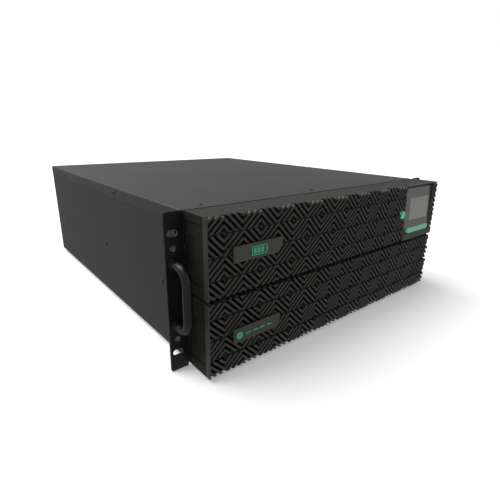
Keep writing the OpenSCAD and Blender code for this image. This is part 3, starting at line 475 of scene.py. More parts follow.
def make_finishes():
    """All finishes of the unit, by the name of the record's slot."""
    c = bpy.context.scene.rackunit_finish
    sheet, ear = tuple(c.sheet), tuple(c.ear)
    bezel, rib, lamp = tuple(c.bezel), tuple(c.rib), tuple(c.lamp)
    return {
        "case_paint": powder_coat("case_powder_coat", sheet, 0.55, c.grain, 0.36),
        "lid_paint": powder_coat("lid_powder_coat", shade(sheet, 1.05), 0.52, c.grain, 0.42),
        "ear_paint": powder_coat("ear_satin_coat", ear, 0.42, 0.0008, 0.3, 0.03, 0.15),
        "handle_coat": powder_coat("handle_enamel", (0.006, 0.006, 0.0055), 0.3, 0.0009, 0.4,
                                   0.05, 0.08),
        "screw_black": powder_coat("painted_screw", shade(sheet, 0.8), 0.4, 0.0006, 0.6, 0.1, 0.1),
        "screw_zinc": metal("bright_zinc_screw", (0.58, 0.58, 0.6), 0.3, line=0.0008),
        "zinc_sheet": galvanised("zinc_spangle", (0.5, 0.51, 0.52)),
        # Painted shade and light: the bezel colour is darkened to 0.7 for its shaded sides, and its
        # tops are painted twice as light.
        "bezel_plastic": moulded("bezel_moulding_painted_shading", shade(bezel, 0.7), 0.6, specular=0.1, painted_top_shading=2.0),
        "housing_plastic": moulded("display_housing_moulding", shade(bezel, 1.75), 0.55),
        # Painted shade: the tops of the ribs are darkened to 0.35 to take off the key light they
        # catch.
        "grille_plastic": moulded("rib_moulding_painted_top_shade", rib, 0.5, 0.0005, 0.4, painted_top_shading=0.35),
        "filter_foam": foam("filter_foam", (0.004, 0.004, 0.004)),
        # Painted shade: the latches are darkened to 0.6 of the bezel plastic for the shade on the
        # bezel's side and round the latch gaps.
        "latch_plastic": moulded("latch_moulding_painted_shade", shade(bezel, 0.6), 0.5, 0.0005, 0.1),
        "plate_coat": metal("plate_brushed_coat", shade(tuple(c.plate), 2.4), 0.42,
                            line=0.0003, relief=0.06, tarnish=0.15),
        "mark_green": moulded("mark_ink", tuple(c.mark), 0.4, 0.0003, 0.4, 0.1),
        "lcd_panel": display_film("display_film", (0.35, 0.35, 0.335)),
        "display_lens": glazing("display_window", (0.116, 0.116, 0.108)),
        "status_green": light_guide("status_light_guide", lamp, 0.25),
        "drop_green": light_guide("drop_light_guide", tuple(c.mark), 0.35),
        "circuit_board": circuit_board("solder_mask", (0.02, 0.09, 0.035)),
        "heatsink_alloy": metal("extruded_alloy", (0.62, 0.63, 0.65), 0.4, (1.0, 0.03, 1.0),
                                0.0006),
        "capacitor_sleeve": shrink_sleeve("capacitor_sleeve", (0.012, 0.016, 0.026),
                                          (0.35, 0.36, 0.37)),
        "choke_winding": metal("enamelled_copper", (0.55, 0.2, 0.07), 0.3, line=0.0011,
                               relief=0.2),
        "fan_plastic": moulded("fan_moulding", (0.016, 0.016, 0.017), 0.5),
        "guard_wire": metal("plated_guard_wire", (0.62, 0.62, 0.64), 0.28, line=0.0006),
        "socket_plastic": moulded("socket_moulding", (0.014, 0.014, 0.015), 0.42),
        "lever_plastic": moulded("lever_moulding", (0.5, 0.5, 0.47), 0.4),
        "stud_brass": metal("stud_brass", (0.72, 0.52, 0.25), 0.28, line=0.0006),
        "cell_case": moulded("cell_case_moulding", (0.028, 0.029, 0.033), 0.5),
        "plug_red": moulded("plug_moulding", (0.38, 0.025, 0.018), 0.42),
    }


FINISHES = {}


# ---------------------------------------------------------------- mesh helpers

class Shell:
    """Vertices and faces that are being collected for one piece."""

    def __init__(self):
        self.points = []
        self.faces = []
        self.known = {}

    def point(self, p):
        """Index of a point; the same place gives the same index."""
        key = tuple(round(c * 1e7) for c in p)
        if key not in self.known:
            self.known[key] = len(self.points)
            self.points.append(tuple(p))
        return self.known[key]

    def add(self, points, faces, place=None):
        """Adds points and faces as they are, moved by a matrix."""
        start = len(self.points)
        for p in points:
            self.points.append(tuple(place @ Vector(p)) if place else tuple(p))
        self.faces.extend(tuple(start + i for i in face) for face in faces)

    def piece(self, name, finish, body, replaces=(), smooth=35.0, bevel=0.0, segments=2):
        """Makes the object, gives it its finish and ties it to its body."""
        mesh = bpy.data.meshes.new(name)
        mesh.from_pydata(self.points, [], self.faces)
        mesh.update()
        made = bmesh.new()
        made.from_mesh(mesh)
        bmesh.ops.recalc_face_normals(made, faces=made.faces)
        made.to_mesh(mesh)
        made.free()
        piece = bpy.data.objects.new(name, mesh)
        bpy.context.scene.collection.objects.link(piece)
        finish_object(piece, finish, bevel, segments, smooth)
        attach(piece, body)
        if replaces:
            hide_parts(*replaces)
        return piece


def finish_object(piece, finish, bevel=0.0, segments=2, smooth=35.0):
    """Gives an object one finish, smooth shading and rounded edges."""
    mesh = piece.data
    mesh.materials.clear()
    mesh.materials.append(FINISHES[finish])
    mesh.shade_smooth()
    mesh.set_sharp_from_angle(angle=math.radians(smooth))
    if bevel:
        round_edges(piece, bevel, segments)


def round_edges(piece, width, segments=2):
    """Rounds the sharp edges of an object with a modifier."""
    rounding = piece.modifiers.new("rounding", "BEVEL")
    rounding.width = width
    rounding.segments = segments
    rounding.limit_method = "ANGLE"
    rounding.angle_limit = math.radians(40.0)
    rounding.harden_normals = True
    rounding.use_clamp_overlap = True


def dress(node, finish, bevel=0.0, segments=2):
    """Keeps a CAD node and gives it its finish and rounded edges."""
    piece = NODES[node]
    piece.data.materials.clear()
    piece.data.materials.append(FINISHES[finish])
    if bevel:
        weld = piece.modifiers.new("weld", "WELD")
        weld.merge_threshold = WELD
        round_edges(piece, bevel, segments)


def islands(node):
    """Lowest and highest corner of each separate solid of a CAD node."""
    made = bmesh.new()
    made.from_mesh(NODES[node].data)
    bmesh.ops.remove_doubles(made, verts=made.verts, dist=1e-6)
    left, boxes = set(made.verts), []
    while left:
        group, edge = set(), [left.pop()]
        while edge:
            vert = edge.pop()
            group.add(vert)
            for link in vert.link_edges:
                other = link.other_vert(vert)
                if other in left:
                    left.discard(other)
                    edge.append(other)
        low = Vector(min(v.co[i] for v in group) for i in range(3))
        high = Vector(max(v.co[i] for v in group) for i in range(3))
        boxes.append((low, high))
    made.free()
    return sorted(boxes, key=lambda b: tuple(round(c, 5) for c in b[0]))


def lathe(profile, sides=32):
    """Turned shape: pairs of radius and height round Z; a radius of 0 closes an end."""
    points, rings = [], []
    for radius, height in profile:
        if radius == 0:
            rings.append([len(points)])
            points.append((0.0, 0.0, height))
        else:
            rings.append(list(range(len(points), len(points) + sides)))
            points.extend((radius * math.cos(a), radius * math.sin(a), height)
                          for a in (2 * math.pi * i / sides for i in range(sides)))
    faces = []
    for low, high in zip(rings, rings[1:]):
        for i in range(sides):
            j = (i + 1) % sides
            quad = [low[i % len(low)], low[j % len(low)], high[j % len(high)],
                    high[i % len(high)]]
            faces.append(tuple(dict.fromkeys(quad)))
    return points, [face for face in faces if len(face) > 2]


def tube(path, radius, sides=20, closed=False):
    """Round bar along a path."""
    path = [Vector(p) for p in path]
    count = len(path)
    points, faces, up = [], [], None
    for i, p in enumerate(path):
        before = path[i - 1] if closed or i else p
        after = path[(i + 1) % count] if closed or i < count - 1 else p
        along = (after - before).normalized()
        if up is None:
            up = along.orthogonal().normalized()
        up = (up - along * up.dot(along)).normalized()
        side = along.cross(up)
        points.extend(p + (up * math.cos(a) + side * math.sin(a)) * radius
                      for a in (2 * math.pi * k / sides for k in range(sides)))
    for i in range(count if closed else count - 1):
        n = (i + 1) % count
        for k in range(sides):
            m = (k + 1) % sides
            faces.append((i * sides + k, i * sides + m, n * sides + m, n * sides + k))
    if not closed:
        faces.append(tuple(range(sides))[::-1])
        faces.append(tuple(range((count - 1) * sides, count * sides)))
    return points, faces


def block(low, high):
    """A box between two corners."""
    (x0, y0, z0), (x1, y1, z1) = low, high
    points = [(x, y, z) for z in (z0, z1) for y in (y0, y1) for x in (x0, x1)]
    return points, [(0, 2, 3, 1), (4, 5, 7, 6), (0, 1, 5, 4), (2, 6, 7, 3), (0, 4, 6, 2),
                    (1, 3, 7, 5)]


def prism(outline, low, high, place=None):
    """An outline in X and Z, extruded along Y from low to high."""
    count = len(outline)
    points = [(x, y, z) for y in (low, high) for x, z in outline]
    faces = [tuple(range(count)), tuple(range(count, 2 * count))[::-1]]
    faces += [(i, (i + 1) % count, count + (i + 1) % count, count + i) for i in range(count)]
    if place:
        points = [tuple(place @ Vector(p)) for p in points]
    return points, faces


def clip(outline, a, b, c):
    """The part of a convex outline where a*x + b*z <= c."""
    kept = []
    for (x0, z0), (x1, z1) in zip(outline, outline[1:] + outline[:1]):
        d0, d1 = a * x0 + b * z0 - c, a * x1 + b * z1 - c
        if d0 <= 0:
            kept.append((x0, z0))
        if (d0 < 0 < d1) or (d1 < 0 < d0):
            t = d0 / (d0 - d1)
            kept.append((x0 + (x1 - x0) * t, z0 + (z1 - z0) * t))
    return kept


def area_of(outline):
    """Area of a flat outline."""
    return abs(sum(x0 * z1 - x1 * z0 for (x0, z0), (x1, z1)
                   in zip(outline, outline[1:] + outline[:1]))) / 2


def pointing(direction, at):
    """A matrix that turns Z to a direction and moves to a place."""
    turn = Vector((0.0, 0.0, 1.0)).rotation_difference(Vector(direction)).to_matrix().to_4x4()
    return Matrix.Translation(Vector(at)) @ turn


def arc(middle, radius, start, end, steps=6):
    """Points of an arc in X and Z, from one angle in degrees to another."""
    angles = [math.radians(start + (end - start) * i / steps) for i in range(steps + 1)]
    return [(middle[0] + radius * math.cos(a), middle[1] + radius * math.sin(a)) for a in angles]


def folded(outer, inner):
    """Closed outline of a folded sheet from the right halves of its two faces."""
    mirrored = [[(-x, z) for x, z in side] for side in (outer, inner)]
    return mirrored[0] + outer[::-1] + inner + mirrored[1][::-1]


# ---------------------------------------------------------------- small parts

# Head radius, head height and shank radius
SHEET_SCREW = (0.0028, 0.001, 0.0015)
HANDLE_SCREW = (0.0042, 0.0026, 0.0023)
SCREWS = {
    "case_screws": ("screw_black", SHEET_SCREW),
    "ear_screws": ("screw_black", SHEET_SCREW),
    "rear_screws": ("screw_black", SHEET_SCREW),
    "handle_screws": ("screw_zinc", HANDLE_SCREW),
}


def screw_head(shell, at, direction, radius, height, shank, length):
    """A pan head with a cross recess, and its threaded shank."""
    sides = 24
    arm, reach, floor = radius * 0.13, radius * 0.5, height * 0.35
    profile = [(0.0, -length), (shank * 0.6, -length)]
    turns = 8
    for i in range(turns):
        step = -length * (1 - (i + 0.5) / turns)
        profile += [(shank, step), (shank * 0.82, step + length * 0.5 / turns)]
    profile += [(shank * 0.9, 0.0), (radius * 0.97, 0.0), (radius, height * 0.15),
                (radius, height * 0.45), (radius * 0.93, height * 0.78), (radius * 0.78, height)]
    points, faces = lathe(profile, sides)
    rim = list(range(len(points) - sides, len(points)))
    cross = [(arm, reach), (arm, arm), (reach, arm), (reach, -arm), (arm, -arm), (arm, -reach),
             (-arm, -reach), (-arm, -arm), (-reach, -arm), (-reach, arm), (-arm, arm),
             (-arm, reach)]
    mouth = range(len(points), len(points) + 12)
    points += [(x, y, height) for x, y in cross]
    well = range(len(points), len(points) + 12)
    points += [(x * 0.8, y * 0.8, floor) for x, y in cross]
    faces.append(tuple(well))
    faces += [(mouth[i], mouth[(i + 1) % 12], well[(i + 1) % 12], well[i]) for i in range(12)]
    made = bmesh.new()
    corners = [made.verts.new(points[i]) for i in (*rim, *mouth)]
    edges = [made.edges.new((corners[i], corners[(i + 1) % sides])) for i in range(sides)]
    edges += [made.edges.new((corners[sides + i], corners[sides + (i + 1) % 12]))
              for i in range(12)]
    bmesh.ops.triangle_fill(made, use_beauty=True, use_dissolve=False, edges=edges)
    order = {vert: index for vert, index in zip(corners, (*rim, *mouth))}
    faces += [tuple(order[v] for v in face.verts) for face in made.faces]
    made.free()
    shell.add(points, faces, pointing(direction, at))


def lattice(face):
    """The half cells of a face: corner, row and parity. face is left, right, bottom, top."""
    s = bpy.context.scene.rackunit_grille
    half = s.pitch / 2
    left, right, bottom, top = face
    first_x, first_z = left + s.first_column, top - s.first_row
    column = math.floor((left - first_x) / half)
    while first_x + column * half < right:
        row = math.floor((bottom - first_z) / half)
        while first_z + row * half < top:
            yield first_x + column * half, first_z + row * half, (column + row) % 2
            row += 1
        column += 1


def ribs(shell, face, windows, front):
    """Leaning diamond ribs over the windows of a face. Each rib is a closed solid."""
    s = bpy.context.scene.rackunit_grille
    half, step = s.pitch / 2, s.pitch / 6
    wide = s.rib_width / math.sqrt(2)
    edge = s.edge * math.sqrt(2)
    back = front + s.rib_depth
    for x, z, odd in lattice(face):
        for left, right, bottom, top in windows:
            low_x, high_x = max(x + s.seam / 2, left), min(x + half - s.seam / 2, right)
            low_z, high_z = max(z, bottom), min(z + half, top)
            if high_x - low_x < s.edge or high_z - low_z < s.edge:
                continue
            cell = [(low_x, low_z), (high_x, low_z), (high_x, high_z), (low_x, high_z)]
            way = -1.0 if odd else 1.0
            start = x + z if not odd else -(x + half) + z
            for k in range(7):
                middle = start + k * step
                add_rib(shell, cell, way, middle, wide, edge, z, half, s.lean, front, back)


def add_rib(shell, cell, way, middle, wide, edge, foot, half, lean, front, back):
    """One rib of a cell: three bands, side walls and a back."""
    limits = (middle - wide, middle - wide + edge, middle + wide - edge, middle + wide)
    bands = []
    for low, high in zip(limits, limits[1:]):
        band = clip(clip(cell, way, 1.0, high), -way, -1.0, -low)
        if len(band) > 2 and area_of(band) > 1e-9:
            bands.append(band)
    if not bands:
        return

    def depth(x, z):
        off = abs(way * x + z - middle) - (wide - edge)
        worn = max(0.0, off) * 0.7
        return front + lean * (1.0 - (z - foot) / half) + worn

    counts = {}
    own = Shell()
    for band in bands:
        loop = [own.point((x, depth(x, z), z)) for x, z in band]
        loop = list(dict.fromkeys(loop))
        if len(loop) < 3:
            continue
        own.faces.append(tuple(loop))
        for a, b in zip(loop, loop[1:] + loop[:1]):
            counts[(a, b)] = counts.get((a, b), 0) + 1
    rim = {a: b for (a, b) in counts if (b, a) not in counts}
    if len(rim) < 3:
        return
    behind = {a: own.point((own.points[a][0], back, own.points[a][2])) for a in rim}
    for a, b in rim.items():
        own.faces.append((b, a, behind[a], behind[b]))
    first = next(iter(rim))
    loop, at = [behind[first]], rim[first]
    while at != first and len(loop) <= len(rim):
        loop.append(behind[at])
        at = rim[at]
    own.faces.append(tuple(reversed(loop)))
    shell.add(own.points, own.faces)


# ---------------------------------------------------------------- operators

class RACKUNIT_OT_finishes(bpy.types.Operator):
    """Makes all finishes of the unit"""

    bl_idname = "rackunit.finishes"
    bl_label = "Finishes"

    def execute(self, context):
        FINISHES.update(make_finishes())
        return {"FINISHED"}


class RACKUNIT_OT_case(bpy.types.Operator):
    """Finishes the folded sheet metal of the case"""

    bl_idname = "rackunit.case"
    bl_label = "Case"

    def execute(self, context):
        self.lid()
        self.tub()
        dress("rear_panel", "case_paint", 0.0003)
        dress("front_panel", "zinc_sheet", 0.0003)
        dress("deck", "zinc_sheet", 0.0004)
        dress("bay_divider", "zinc_sheet", 0.0004)
        dress("ear_left", "ear_paint", 0.0004)
        dress("ear_right", "ear_paint", 0.0004)
        return {"FINISHED"}

    def lid(self):
        """Lid with two folded sides."""
        low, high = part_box("top_cover")
        wide, top = high.x, high.z
        outer = [(wide, low.z)] + arc((wide - BEND, top - BEND), BEND, 0, 90)
        inner = [(wide - SHEET, low.z)] + arc((wide - BEND, top - BEND), BEND - SHEET, 0, 90)
        shell = Shell()
        shell.add(*prism(folded(outer, inner), low.y, high.y))
        shell.piece("folded_lid", "lid_paint", "chassis", ("top_cover",), 30.0, 0.0003)

    def tub(self):
        """Floor and sides in one sheet, set in at the top where the lid laps over."""
        low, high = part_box("case_tub")
        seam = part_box("top_cover")[0].z
        wide, bottom, gap, lap = high.x, low.z, 0.0004, 0.008
        middle = (wide - BEND, bottom + BEND)
        outer = [(wide, seam - gap)] + arc(middle, BEND, 0, -90)
        inner = [(wide - SHEET, seam - gap), (wide - SHEET, high.z),
                 (wide - 2 * SHEET, high.z), (wide - 2 * SHEET, seam - lap),
                 (wide - SHEET, seam - lap)]
        inner += arc(middle, BEND - SHEET, 0, -90)
        shell = Shell()
        shell.add(*prism(folded(outer, inner), low.y, high.y))
        shell.piece("folded_tub", "case_paint", "chassis", ("case_tub",), 30.0, 0.0003)


class RACKUNIT_OT_handles(bpy.types.Operator):
    """Builds the bent bar handles"""

    bl_idname = "rackunit.handles"
    bl_label = "Handles"

    def execute(self, context):
        for side in ("left", "right"):
            node = "handle_" + side
            low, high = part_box(node)
            radius = (high.x - low.x) / 2
            x, reach = (low.x + high.x) / 2, low.y + radius
            leg, bend, quarter = high.z - radius, 0.0145, 12
            path = [(x, high.y, leg)]
            path += [(x, reach + bend * (1 - math.sin(a)), leg - bend * (1 - math.cos(a)))
                     for a in (math.pi / 2 * i / quarter for i in range(quarter + 1))]
            path += [(x, y, -z) for x, y, z in reversed(path)]
            shell = Shell()
            shell.add(*tube(path, radius, 32))
            wide, neck, rise, tall = 0.0012, 0.0005, 0.0014, 0.002
            for z in (leg, -leg):
                ring = [(radius, 0.0), (radius + wide, 0.0), (radius + wide, rise),
                        (radius + neck, tall), (radius, tall)]
                points, faces = lathe(ring + ring[:1], 32)
                shell.add(points, faces, pointing((0, -1, 0), (x, high.y, z)))
            shell.piece("bar_handle_" + side, "handle_coat", "chassis", (node,))
        return {"FINISHED"}


class RACKUNIT_OT_screws(bpy.types.Operator):
    """Builds the screws with cross recesses"""

    bl_idname = "rackunit.screws"
    bl_label = "Screws"

    def execute(self, context):
        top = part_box("top_cover")[1].z
        for node, (finish, size) in SCREWS.items():
            shell = Shell()
            for low, high in islands(node):
                self.add_screw(shell, low, high, self.painted_top_mask(node, low, high, top), size)
            shell.piece("cross_" + node, finish, "chassis", (node,), 30.0)
        return {"FINISHED"}

    def painted_top_mask(self, node, low, high, top):
        """Which way the head of a screw faces."""
        if node in ("handle_screws", "rear_screws"):
            return 0.0, 1.0, 0.0
        if node == "case_screws" and high.z > top:
            return 0.0, 0.0, 1.0
        return math.copysign(1.0, low.x + high.x), 0.0, 0.0

    def add_screw(self, shell, low, high, way, size):
        """One screw in the place of a CAD screw."""
        radius, head, shank = size
        axis = max(range(3), key=lambda i: abs(way[i]))
        at = (low + high) / 2
        at[axis] = (high if way[axis] > 0 else low)[axis] - way[axis] * head
        screw_head(shell, at, way, radius, head, shank, high[axis] - low[axis] - head)


class RACKUNIT_OT_bezels(bpy.types.Operator):
    """Finishes the bezel frames, filters and latches"""

    bl_idname = "rackunit.bezels"
    bl_label = "Bezel frames"

    def execute(self, context):
        for row in ("upper", "lower"):
            self.frame(row)
            dress(row + "_filter", "filter_foam", 0.001)
            for side in ("left", "right"):
                dress(f"{row}_latch_{side}", "latch_plastic", 0.0005)
        return {"FINISHED"}


    def frame(self, row):
        """Frame of four walls: a rebate at the lid, recessed sides and latch openings."""
        low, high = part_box(row + "_bezel")
        wall, sunk, top_rim, foot = 0.003, 0.0015, 0.008, 0.010
        rebate, step, gap = 0.003, 0.001, 0.0007
        front, back = low.y, high.y
        shell = Shell()
        side = [(front, high.z), (back - rebate, high.z), (back - rebate, high.z - step),
                (back, high.z - step), (back, high.z - wall), (front, high.z - wall)]
        self.along_x(shell, side, low.x, high.x)
        floor = [(front, low.z), (back, low.z), (back, low.z + wall), (front, low.z + wall)]
        self.along_x(shell, floor, low.x, high.x)
        for way, edge in ((1.0, high.x), (-1.0, low.x)):
            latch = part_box(f"{row}_latch_{'right' if way > 0 else 'left'}")
            x0, x1, inner = edge, edge - way * sunk, edge - way * wall
            spans = ((high.z - top_rim, high.z - wall, front, back, x0),
                     (low.z + wall, low.z + foot, front, back, x0),
                     (latch[1].z + gap, high.z - top_rim, front, back, x1),
                     (low.z + foot, latch[0].z - gap, front, back, x1),
                     (latch[0].z - gap, latch[1].z + gap, front, latch[0].y - gap, x1),
                     (latch[0].z - gap, latch[1].z + gap, latch[1].y + gap, back, x1))
            for z0, z1, y0, y1, face in spans:
                box = [(y0, z0), (y1, z0), (y1, z1), (y0, z1)]
                self.along_x(shell, box, *sorted((face, inner)))
        shell.piece(row + "_bezel_frame", "bezel_plastic", row + "_bezel_unit",
                    (row + "_bezel",), 30.0)

    def along_x(self, shell, outline, low, high):
        """An outline in Y and Z, extruded along X."""
        points, faces = prism(outline, low, high)
        shell.add([(y, x, z) for x, y, z in points], faces)


class RACKUNIT_OT_grilles(bpy.types.Operator):
    """Builds the ribbed diamond grilles and the webs behind them"""

    bl_idname = "rackunit.grilles"
    bl_label = "Grilles"

    def execute(self, context):
        s = context.scene.rackunit_grille
        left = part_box("lower_grille")[0].x
        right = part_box("lower_grille")[1].x
        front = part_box("lower_grille")[0].y
        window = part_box("display_housing")[0].x
        border, set_back, gap, tip = 0.0015, 0.0003, 0.0004, 0.001
        drop_low, drop_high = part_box("drop_button")
        for row in ("upper", "lower"):
            low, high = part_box(row + "_bezel")
            bottom, top = low.z, high.z
            face = (left, right, bottom, top)
            windows = [(left + border, right, bottom, top)]
            if row == "upper":
                pore_shade_and_depth = (drop_low.x - gap, drop_high.x + gap, drop_low.z - gap,
                        drop_high.z - tip)
                windows = [(left + border, pore_shade_and_depth[0], bottom, top),
                           (pore_shade_and_depth[0], pore_shade_and_depth[1], bottom, pore_shade_and_depth[2]),
                           (pore_shade_and_depth[0], pore_shade_and_depth[1], pore_shade_and_depth[3], top), (pore_shade_and_depth[1], window, bottom, top)]
            shell = Shell()
            ribs(shell, face, windows, front)
            shell.add(*block((left, front + set_back, bottom),
                             (left + border, front + s.rib_depth, top)))
            self.add_web(shell, left, window if row == "upper" else right, bottom, top, front,
                         s, pore_shade_and_depth if row == "upper" else None)
            shell.piece(row + "_rib_grille", "grille_plastic", row + "_bezel_unit",
                        (row + "_grille",), 25.0)
        return {"FINISHED"}

    def add_web(self, shell, left, right, bottom, top, front, s, pore_shade_and_depth):
        """Flat bars behind the ribs that hold them together."""
        rim, bar, thick = 0.002, 0.003, 0.002
        near = front + s.rib_depth
        far = near + thick
        shell.add(*block((left, near, bottom), (right, far, bottom + rim)))
        shell.add(*block((left, near, top - rim), (right, far, top)))
        shell.add(*block((left, near, bottom + rim), (left + rim, far, top - rim)))
        shell.add(*block((right - rim, near, bottom + rim), (right, far, top - rim)))
        level = top - s.first_row
        while level > bottom + bar:
            stops = [left + rim, right - rim]
            if pore_shade_and_depth and pore_shade_and_depth[2] - bar < level < pore_shade_and_depth[3] + bar:
                stops = [left + rim, pore_shade_and_depth[0]]
            shell.add(*block((stops[0], near, level - bar / 2), (stops[1], far, level + bar / 2)))
            level -= s.pitch / 2


class RACKUNIT_OT_plates(bpy.types.Operator):
    """Finishes the name plates and their plain marks"""

    bl_idname = "rackunit.plates"
    bl_label = "Name plates"

    def execute(self, context):
        for row in ("upper", "lower"):
            dress(row + "_plate", "plate_coat", 0.0008, 1)
            dress(row + "_plate_mark", "mark_green")
        return {"FINISHED"}


class RACKUNIT_OT_display(bpy.types.Operator):
    """Builds the display, its lamp strip and the drop button"""

    bl_idname = "rackunit.display"
    bl_label = "Display"

    def execute(self, context):
        dress("display_housing", "housing_plastic", 0.0003)
        low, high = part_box("display_lens")
        s = context.scene.rackunit_display
        slope = math.asin(min(1.0, (high.y - low.y - s.thickness) / (high.z - low.z)))
        foot = Vector((low.x, high.y, low.z)) - Vector((0.0, high.z - low.z, 0.0)) * math.sin(slope)
        place = Matrix.Translation(foot) @ Matrix.Rotation(-slope, 4, "X")
        size = (high.x - low.x, (high.z - low.z) / math.cos(slope) - s.thickness * math.sin(slope))
        self.window(place, size, s)
        self.film(place, size, s)
        dress("status_bar", "status_green", 0.0005)
        self.signs(place, size[0])
        self.drop()
        return {"FINISHED"}

    def window(self, place, size, s):
        """Smoked window surround with an opening over the film."""
        wide, tall = size
        gap = 0.0001
        shell = Shell()
        for x0, x1, z0, z1 in ((-s.reach, wide, 0.0, s.band_low),
                               (-s.reach, wide, tall - s.band_high, tall),
                               (-s.reach, s.stile, s.band_low, tall - s.band_high),
                               (wide - s.stile, wide, s.band_low, tall - s.band_high)):
            outline = [(x0 + gap, z0 + gap), (x1 - gap, z0 + gap), (x1 - gap, z1 - gap),
                       (x0 + gap, z1 - gap)]
            shell.add(*prism(outline, -s.thickness, 0.0, place))
        shell.piece("display_surround", "display_lens", "upper_bezel_unit", ("display_lens",),
                    30.0, 0.0002)

    def film(self, place, size, s):
        """Film plate with a raised active field."""
        wide, tall = size
        shell = Shell()
        gap, edge, step = 0.0001, 0.001, 0.0006
        face = s.sunk - s.thickness
        for inset, near, far in ((gap, face + step, -gap), (gap + edge, face, face + step)):
            low_x, high_x = s.stile + inset, wide - s.stile - inset
            low_z, high_z = s.band_low + inset, tall - s.band_high - inset
            outline = [(low_x, low_z), (high_x, low_z), (high_x, high_z), (low_x, high_z)]
            shell.add(*prism(outline, near, far, place))
        shell.piece("display_film_plate", "lcd_panel", "upper_bezel_unit", ("display_panel",),
                    30.0, gap)

    def signs(self, place, wide):
        """Plain pale signs on the lamp strip: a dot, two bars, a square and a peak."""
        front, raised, level, size = -0.003, 0.00015, -0.0045, 0.0017
        dot = arc((0.0, 0.0), size, 0, 330, 11)
        bar = [(-size * 1.4, -size / 3), (size * 1.4, -size / 3), (size * 1.4, size / 3),
               (-size * 1.4, size / 3)]
        square = [(-size, -size), (size, -size), (size, size), (-size, size)]
        peak = [(-size * 1.2, -size), (size * 1.2, -size), (0.0, size)]
        shell = Shell()
        for share, outline in ((0.14, dot), (0.32, bar), (0.5, square), (0.68, bar), (0.86, peak)):
            at = [(x + wide * share, z + level) for x, z in outline]
            shell.add(*prism(at, front - raised, front + raised, place))
        shell.piece("lamp_strip_signs", "lever_plastic", "upper_bezel_unit", (), 30.0, 0.00005)

    def drop(self):
        """Domed drop-shaped button."""
        low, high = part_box("drop_button")
        radius = (high.x - low.x) / 2
        middle = ((low.x + high.x) / 2, low.z + radius)
        outline = arc((0.0, 0.0), radius, 135, 405, 36) + [(0.0, high.z - middle[1])]
        layers = ((1.0, high.y), (1.0, low.y + 0.0006), (0.96, low.y + 0.0002),
                  (0.88, low.y + 0.00006), (0.7, low.y))
        count = len(outline)
        points = [(middle[0] + x * share, y, middle[1] + z * share)
                  for share, y in layers for x, z in outline]
        faces = [tuple(range(count)), tuple(range((len(layers) - 1) * count, len(points)))[::-1]]
        for start in range(0, (len(layers) - 1) * count, count):
            faces += [(start + i, start + (i + 1) % count, start + count + (i + 1) % count,
                       start + count + i) for i in range(count)]
        shell = Shell()
        shell.add(points, faces)
        shell.piece("drop_lens", "drop_green", "drop_key", ("drop_button",), 50.0)


